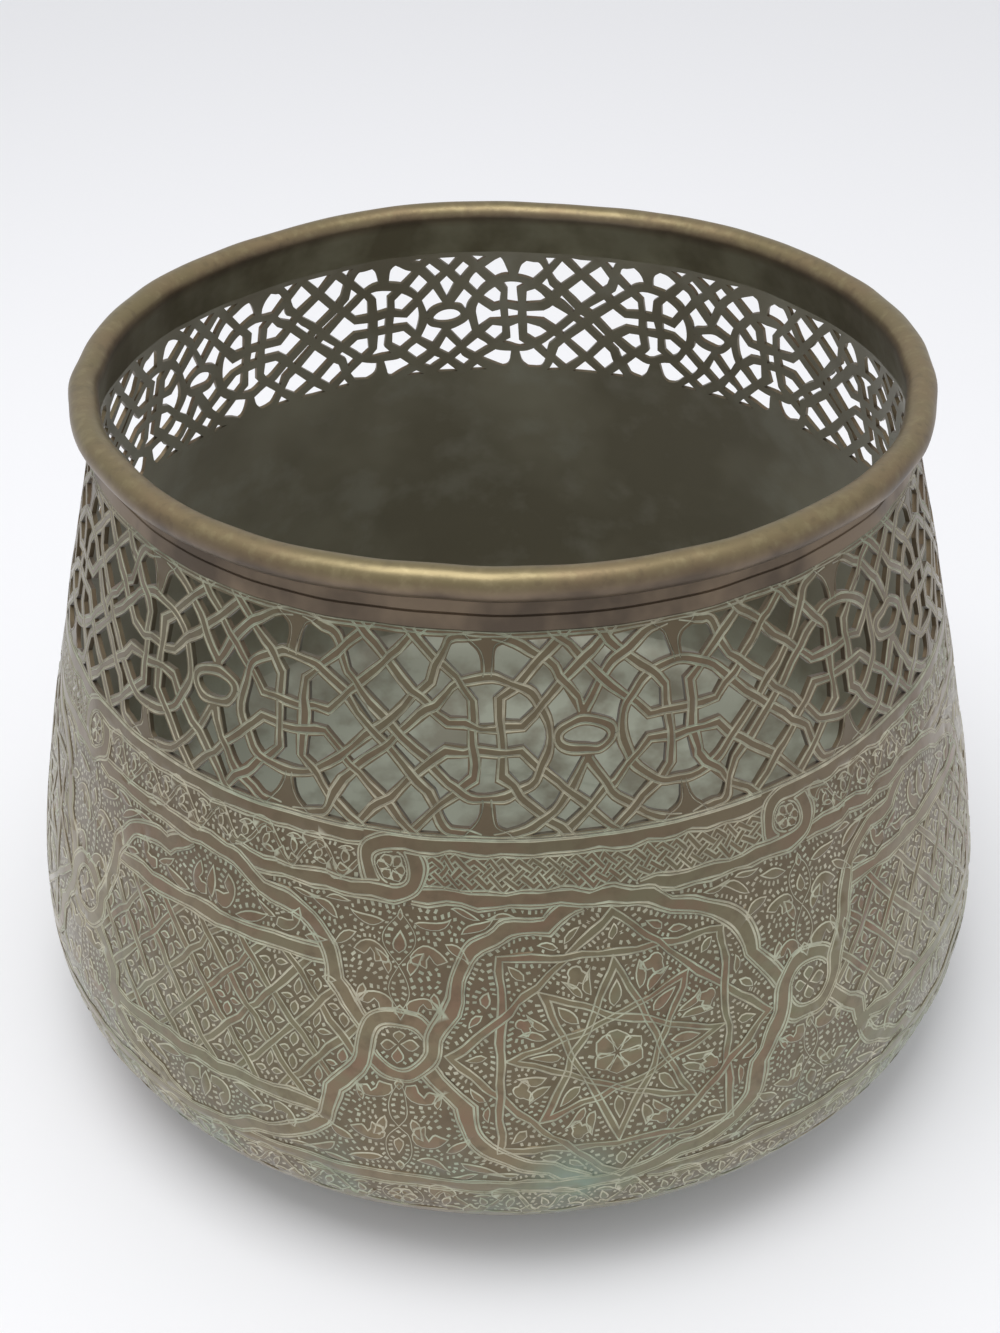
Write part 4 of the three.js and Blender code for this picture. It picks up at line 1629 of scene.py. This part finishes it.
tones = {
    "brass": "#83735b",          # rubbed olive brown of the metal left standing
    "brassWarm": "#876b58",      # redder where the copper shows
    "brassGreen": "#78755c",
    "brassDark": "#5f5341",
    "ground": "#675c49",         # the sunk ground, never rubbed
    "chalk": "#c6c1ab",          # pale polish and dust left in the cuts
    "chalkGreen": "#afb9a2",
    "verdigris": "#84998a",
    "collar": "#7a6b5a",
    "collarDark": "#5c5146",
    "bead": "#796d50",
    # worn brass of the roll, also used for the painted highlight on its top
    "beadWornAndHighlight": "#918565",
    # the inside skin is painted paler than its own tone, as painted light that lifts the shade in the pot
    "inside": "#948f7f",
    "insideDark": "#766f5e",
    "insidePale": "#b4b4aa",
    "insideFloor": "#b7bcac",    # green bloom where water stood
    "iron": "#3a342e",
    "rust": "#5a3d2b",
    "floor": "#f4f4f6",
    "sky": "#fcfdff",
}

sheetLook = {
    # size in mm, detail and roughness of each noise
    "noises": {
        "cloud": (111, 4, 0.55),
        "patch": (23.8, 4, 0.55),
        "fleck": (4.76, 3, 0.55),
        "grain": (0.667, 2, 0.55),
    },
    "spots": {"away": (17.6, -167.6, 45)},                # green, where water stood against the belly
    "marks": ("ground", "groove", "inside"),              # what the mesh says of its faces
    # what a share reads, where it starts and ends, and how much it is at both; heights are in metres
    "shares": {
        "green": ("cloud", 0.38, 0.62, 0, 1),
        "warm": ("patch", 0.48, 0.66, 0, 0.75),
        "dark": ("fleck", 0.5, 0.72, 0, 0.55),
        "sunk": ("ground", 0.4, 0.6, 0, 1),
        "sunkTone": ("ground", 0.4, 0.6, 0, 0.75),
        "struck": ("ground", 1.4, 1.6, 0, 0.92),
        "upper": ("height", 0.1, 0.165, 0, 0.65),         # darker towards the top, from 100 mm up and most over the frieze
        "inLine": ("groove", 0.08, 0.3, 0, 1),
        "besideGround": ("groove", 0.35, 0.6, 0, 1),
        "worn": ("fleck", 0.3, 0.6, 1, 0.62),
        # less dust in the cuts towards the top
        "upperLessDust": ("height", 0.1, 0.165, 1, 0.8),
        "chalkGreen": ("patch", 0.4, 0.62, 0, 1),
        "low": ("height", 0.075, 0.02, 0, 1),
        "lowPatch": ("patch", 0.46, 0.62, 0, 0.5),
        "near": ("away", 0.022, 0.005, 0, 1),
        "nearPatch": ("patch", 0.36, 0.56, 0.25, 0.75),
        "insideDark": ("cloud", 0.4, 0.6, 0, 1),
        "insidePale": ("patch", 0.52, 0.7, 0, 0.25),
        "floor": ("height", 0.06, 0.005, 0, 0.95),
        "floorPatch": ("patch", 0.38, 0.56, 0.25, 1),
        "rough": ("patch", 0.3, 0.7, 0.4, 0.56),
        "insideShine": ("inside", 0, 1, 1, 0.35),
    },
    "products": {
        "bloom": ("low", "lowPatch"),
        "stain": ("near", "nearPatch"),
        "wet": ("floor", "floorPatch"),
    },
    "bumps": (("fleck", 0.35, 0.2), ("grain", 0.25, 0.06)),   # strength, and height in mm
    "shine": 0.82,
    "dustRough": 0.35,
    "sheen": 0.42,               # dust shows at a glancing view
    "sheenRough": 0.4,
}


def patinatedBrass():
    # raised brass sheet, engraved, punched and long left: brown metal, pale dust in every cut,
    # a green bloom low down, and a dull grey skin inside that is painted paler as painted light lifting the
    # shade in the pot
    finish, tree, shader, found = newFinish("patinated_brass_sheet", sheetLook)
    metal = layered(tree, linear(tones["brass"]), [
        (found["green"], "brassGreen"),
        (found["warm"], "brassWarm"),
        (found["dark"], "brassDark"),
        (found["sunkTone"], "ground"),
        (found["upper"], "brassDark"),
        (found["bloom"], "verdigris"),
        (found["stain"], "verdigris"),
    ])
    # the pale inside tones are partly painted light that lifts the shade in the pot
    skin = layered(tree, linear(tones["inside"]), [
        (found["insideDark"], "insideDark"),
        (found["insidePale"], "insidePale"),
        (found["wet"], "insideFloor"),
    ])
    # the sunk side of a cut holds less dust than the side that is left standing
    sides = {0: found["sunk"], 2: found["inLine"], 3: found["besideGround"]}
    dust = addNode(tree, "ShaderNodeMix", sides)
    dust = addNode(tree, "ShaderNodeMath", {0: dust, 1: found["struck"]}, operation="MAXIMUM")
    for share in ("worn", "upperLessDust"):
        dust = addNode(tree, "ShaderNodeMath", {0: dust, 1: found[share]}, operation="MULTIPLY")
    chalk = layered(tree, linear(tones["chalk"]), [(found["chalkGreen"], "chalkGreen")])
    colour = layered(tree, metal, [(dust, chalk), (found["inside"], skin)])
    bare = addNode(tree, "ShaderNodeMapRange", {"Value": dust, 3: sheetLook["shine"], 4: 0.0})
    shine = addNode(tree, "ShaderNodeMath", {0: bare, 1: found["insideShine"]}, operation="MULTIPLY")
    dull = {0: dust, 1: sheetLook["dustRough"], 2: found["rough"]}
    rough = addNode(tree, "ShaderNodeMath", dull, operation="MULTIPLY_ADD")
    tree.links.new(colour, shader.inputs["Base Color"])
    tree.links.new(shine, shader.inputs["Metallic"])
    tree.links.new(rough, shader.inputs["Roughness"])
    shader.inputs["Sheen Weight"].default_value = sheetLook["sheen"]
    shader.inputs["Sheen Roughness"].default_value = sheetLook["sheenRough"]
    return finish


edgeLook = {
    "noises": {
        "patch": (33.3, 4, 0.55),
        "fleck": (3.846, 3, 0.55),
        "grain": (0.625, 2, 0.55),
    },
    "marks": ("inside",),
    "shares": {
        "collarDark": ("patch", 0.44, 0.6, 0, 1),
        "warm": ("patch", 0.42, 0.62, 0, 0.4),
        "worn": ("fleck", 0.52, 0.7, 0, 0.7),
        "dark": ("fleck", 0.42, 0.34, 0, 0.45),
        "top": ("height", 0.238, 0.2418, 0, 0.35),        # painted highlight: the top of the roll turns lighter
        # painted shade: below this height the roll keeps the collar's darker tones
        "bead": ("height", 0.2366, 0.2405, 0, 1),
        "insideDark": ("patch", 0.4, 0.6, 0, 1),
        "below": ("height", 0.238, 0.234, 0, 1),
        "rough": ("patch", 0.3, 0.7, 0.35, 0.48),
    },
    "products": {"skin": ("inside", "below")},
    "bumps": (("fleck", 0.4, 0.2), ("grain", 0.25, 0.06)),
    "shine": 0.85,
}


def edgeBrassPaintedLight():
    # the rolled edge and its collar: worn flecks, a painted highlight that makes the top of the roll
    # golden, and painted shade that gives the roll's lower side the collar's dark brown
    finish, tree, shader, found = newFinish("brass_edge_painted_light", edgeLook)
    collar = layered(tree, linear(tones["collar"]), [(found["collarDark"], "collarDark")])
    bead = layered(tree, linear(tones["bead"]), [
        (found["warm"], "brassWarm"),
        (found["worn"], "beadWornAndHighlight"),
        (found["dark"], "brassDark"),
        # painted highlight: the top of the roll turns lighter
        (found["top"], "beadWornAndHighlight"),
    ])
    # the pale inside tones are partly painted light that lifts the shade in the pot
    skin = layered(tree, linear(tones["inside"]), [(found["insideDark"], "insideDark")])
    # the roll's lower side keeps the collar's tones as painted shade
    colour = layered(tree, collar, [(found["bead"], bead), (found["skin"], skin)])
    tree.links.new(colour, shader.inputs["Base Color"])
    tree.links.new(found["rough"], shader.inputs["Roughness"])
    shader.inputs["Metallic"].default_value = edgeLook["shine"]
    return finish


wireLook = {
    "noises": {"patch": (5.556, 3, 0.5)},
    "shares": {
        "rust": ("patch", 0.45, 0.62, 0, 1),
        "shine": ("rust", 0, 1, 0.8, 0.1),
    },
    "bumps": (("patch", 0.3, 0.1),),
    "rough": 0.6,
}


def forgedIron():
    # drawn iron wire in the roll: dull and dark, with brown patches of rust that shine less
    finish, tree, shader, found = newFinish("forged_iron_wire", wireLook)
    colour = layered(tree, linear(tones["iron"]), [(found["rust"], "rust")])
    tree.links.new(colour, shader.inputs["Base Color"])
    tree.links.new(found["shine"], shader.inputs["Metallic"])
    shader.inputs["Roughness"].default_value = wireLook["rough"]
    return finish


innerFloor = {
    "reach": 156,                # mm from the axis
    "height": 30,                # mm
    "facing": 0.3,               # least share of a face's normal that looks up, or inwards
}


def markInside(piece):                                    # which faces look into the pot
    data = piece.data
    count = len(data.polygons)
    centres = np.zeros(count * 3)
    normals = np.zeros(count * 3)
    data.polygons.foreach_get("center", centres)
    data.polygons.foreach_get("normal", normals)
    centres = centres.reshape(-1, 3)
    normals = normals.reshape(-1, 3)
    away = np.hypot(centres[:, 0], centres[:, 1])
    outward = (centres[:, :2] * normals[:, :2]).sum(1) / np.maximum(away, 1e-6)
    isFloor = (away < innerFloor["reach"] * mm) & (centres[:, 2] < innerFloor["height"] * mm)
    inside = np.where(isFloor, normals[:, 2], -outward) > innerFloor["facing"]
    data.attributes.new("inside", "FLOAT", "FACE").data.foreach_set("value", inside.astype(float))


sheetFinish = patinatedBrass()
edgeFinish = edgeBrassPaintedLight()
for piece in [friezePiece, foot, base] + bellyPieces:
    markInside(piece)
    piece.data.materials.append(sheetFinish)
markInside(mouth)
mouth.data.materials.append(edgeFinish)
wire = bpy.data.objects["rim_wire"]
wire.data.materials.clear()
wire.data.materials.append(forgedIron())
print("finishes")

# Camera at the photograph's viewing angle, fitted to the pot's outline there; metres and radians
view = {
    "place": (0.0025, -0.5138, 0.4823),
    "pitch": 0.615,              # how far it looks down
    "roll": 0.016,
    "yaw": -0.009,
    "lens": 47.57,
    "sensor": 36,
    "nearest": 0.01,
}


def addCamera():
    pitch, roll, yaw = view["pitch"], view["roll"], view["yaw"]
    levelRight = np.array([math.cos(yaw), -math.sin(yaw), 0])
    levelAhead = np.array([math.sin(yaw), math.cos(yaw), 0])
    upward = np.array([0, 0, 1.0])
    plainUp = math.sin(pitch) * levelAhead + math.cos(pitch) * upward
    ahead = math.cos(pitch) * levelAhead - math.sin(pitch) * upward
    right = math.cos(roll) * levelRight - math.sin(roll) * plainUp
    up = math.sin(roll) * levelRight + math.cos(roll) * plainUp
    axes = np.column_stack([right, up, -ahead, view["place"]])
    camera = bpy.data.objects.new("photoCamera", bpy.data.cameras.new("photoCamera"))
    camera.matrix_world = Matrix(np.vstack([axes, [0, 0, 0, 1]]).tolist())
    camera.data.lens = view["lens"]
    camera.data.sensor_width = view["sensor"]
    camera.data.clip_start = view["nearest"]
    bpy.context.collection.objects.link(camera)
    bpy.context.scene.camera = camera


addCamera()

# Floor and light
studio = {
    "floorSize": 7.0,
    "floorRough": 0.9,
    "worldTop": 0.82,            # brightness high up and at the horizon
    "worldSide": 0.7,
    "topFrom": 0.9,              # share of the way up from which it is full
    "lampWatts": 8.5,
    "lampSize": 0.8,
    "lampPlace": (-0.15, -0.25, 1.4),
}


def addFloor():
    bpy.ops.mesh.primitive_plane_add(size=studio["floorSize"], location=(0, 0, 0))
    floor = bpy.context.object
    floor.name = "floor"
    paper, tree, shader, found = newFinish("white_paper_floor")
    shader.inputs["Base Color"].default_value = linear(tones["floor"])
    shader.inputs["Roughness"].default_value = studio["floorRough"]
    floor.data.materials.append(paper)


def addLight():
    world = bpy.data.worlds.new("studio")
    bpy.context.scene.world = world
    world.use_nodes = True
    tree = world.node_tree
    sky = tree.nodes["Background"]
    way = addNode(tree, "ShaderNodeTexCoord", output="Generated")
    up = addNode(tree, "ShaderNodeSeparateXYZ", {0: way}, "Z")
    reach = {"Value": up, 2: studio["topFrom"], 3: studio["worldSide"], 4: studio["worldTop"]}
    tree.links.new(addNode(tree, "ShaderNodeMapRange", reach), sky.inputs["Strength"])
    sky.inputs["Color"].default_value = linear(tones["sky"])
    bpy.ops.object.light_add(type="AREA", location=studio["lampPlace"])
    lamp = bpy.context.object
    lamp.name = "softWindow"
    lamp.data.energy = studio["lampWatts"]
    lamp.data.size = studio["lampSize"]
    aim = -Vector(studio["lampPlace"])
    lamp.rotation_euler = aim.to_track_quat("-Z", "Y").to_euler()


addFloor()
addLight()
bpy.context.scene.view_settings.view_transform = "Standard"
print("studio")
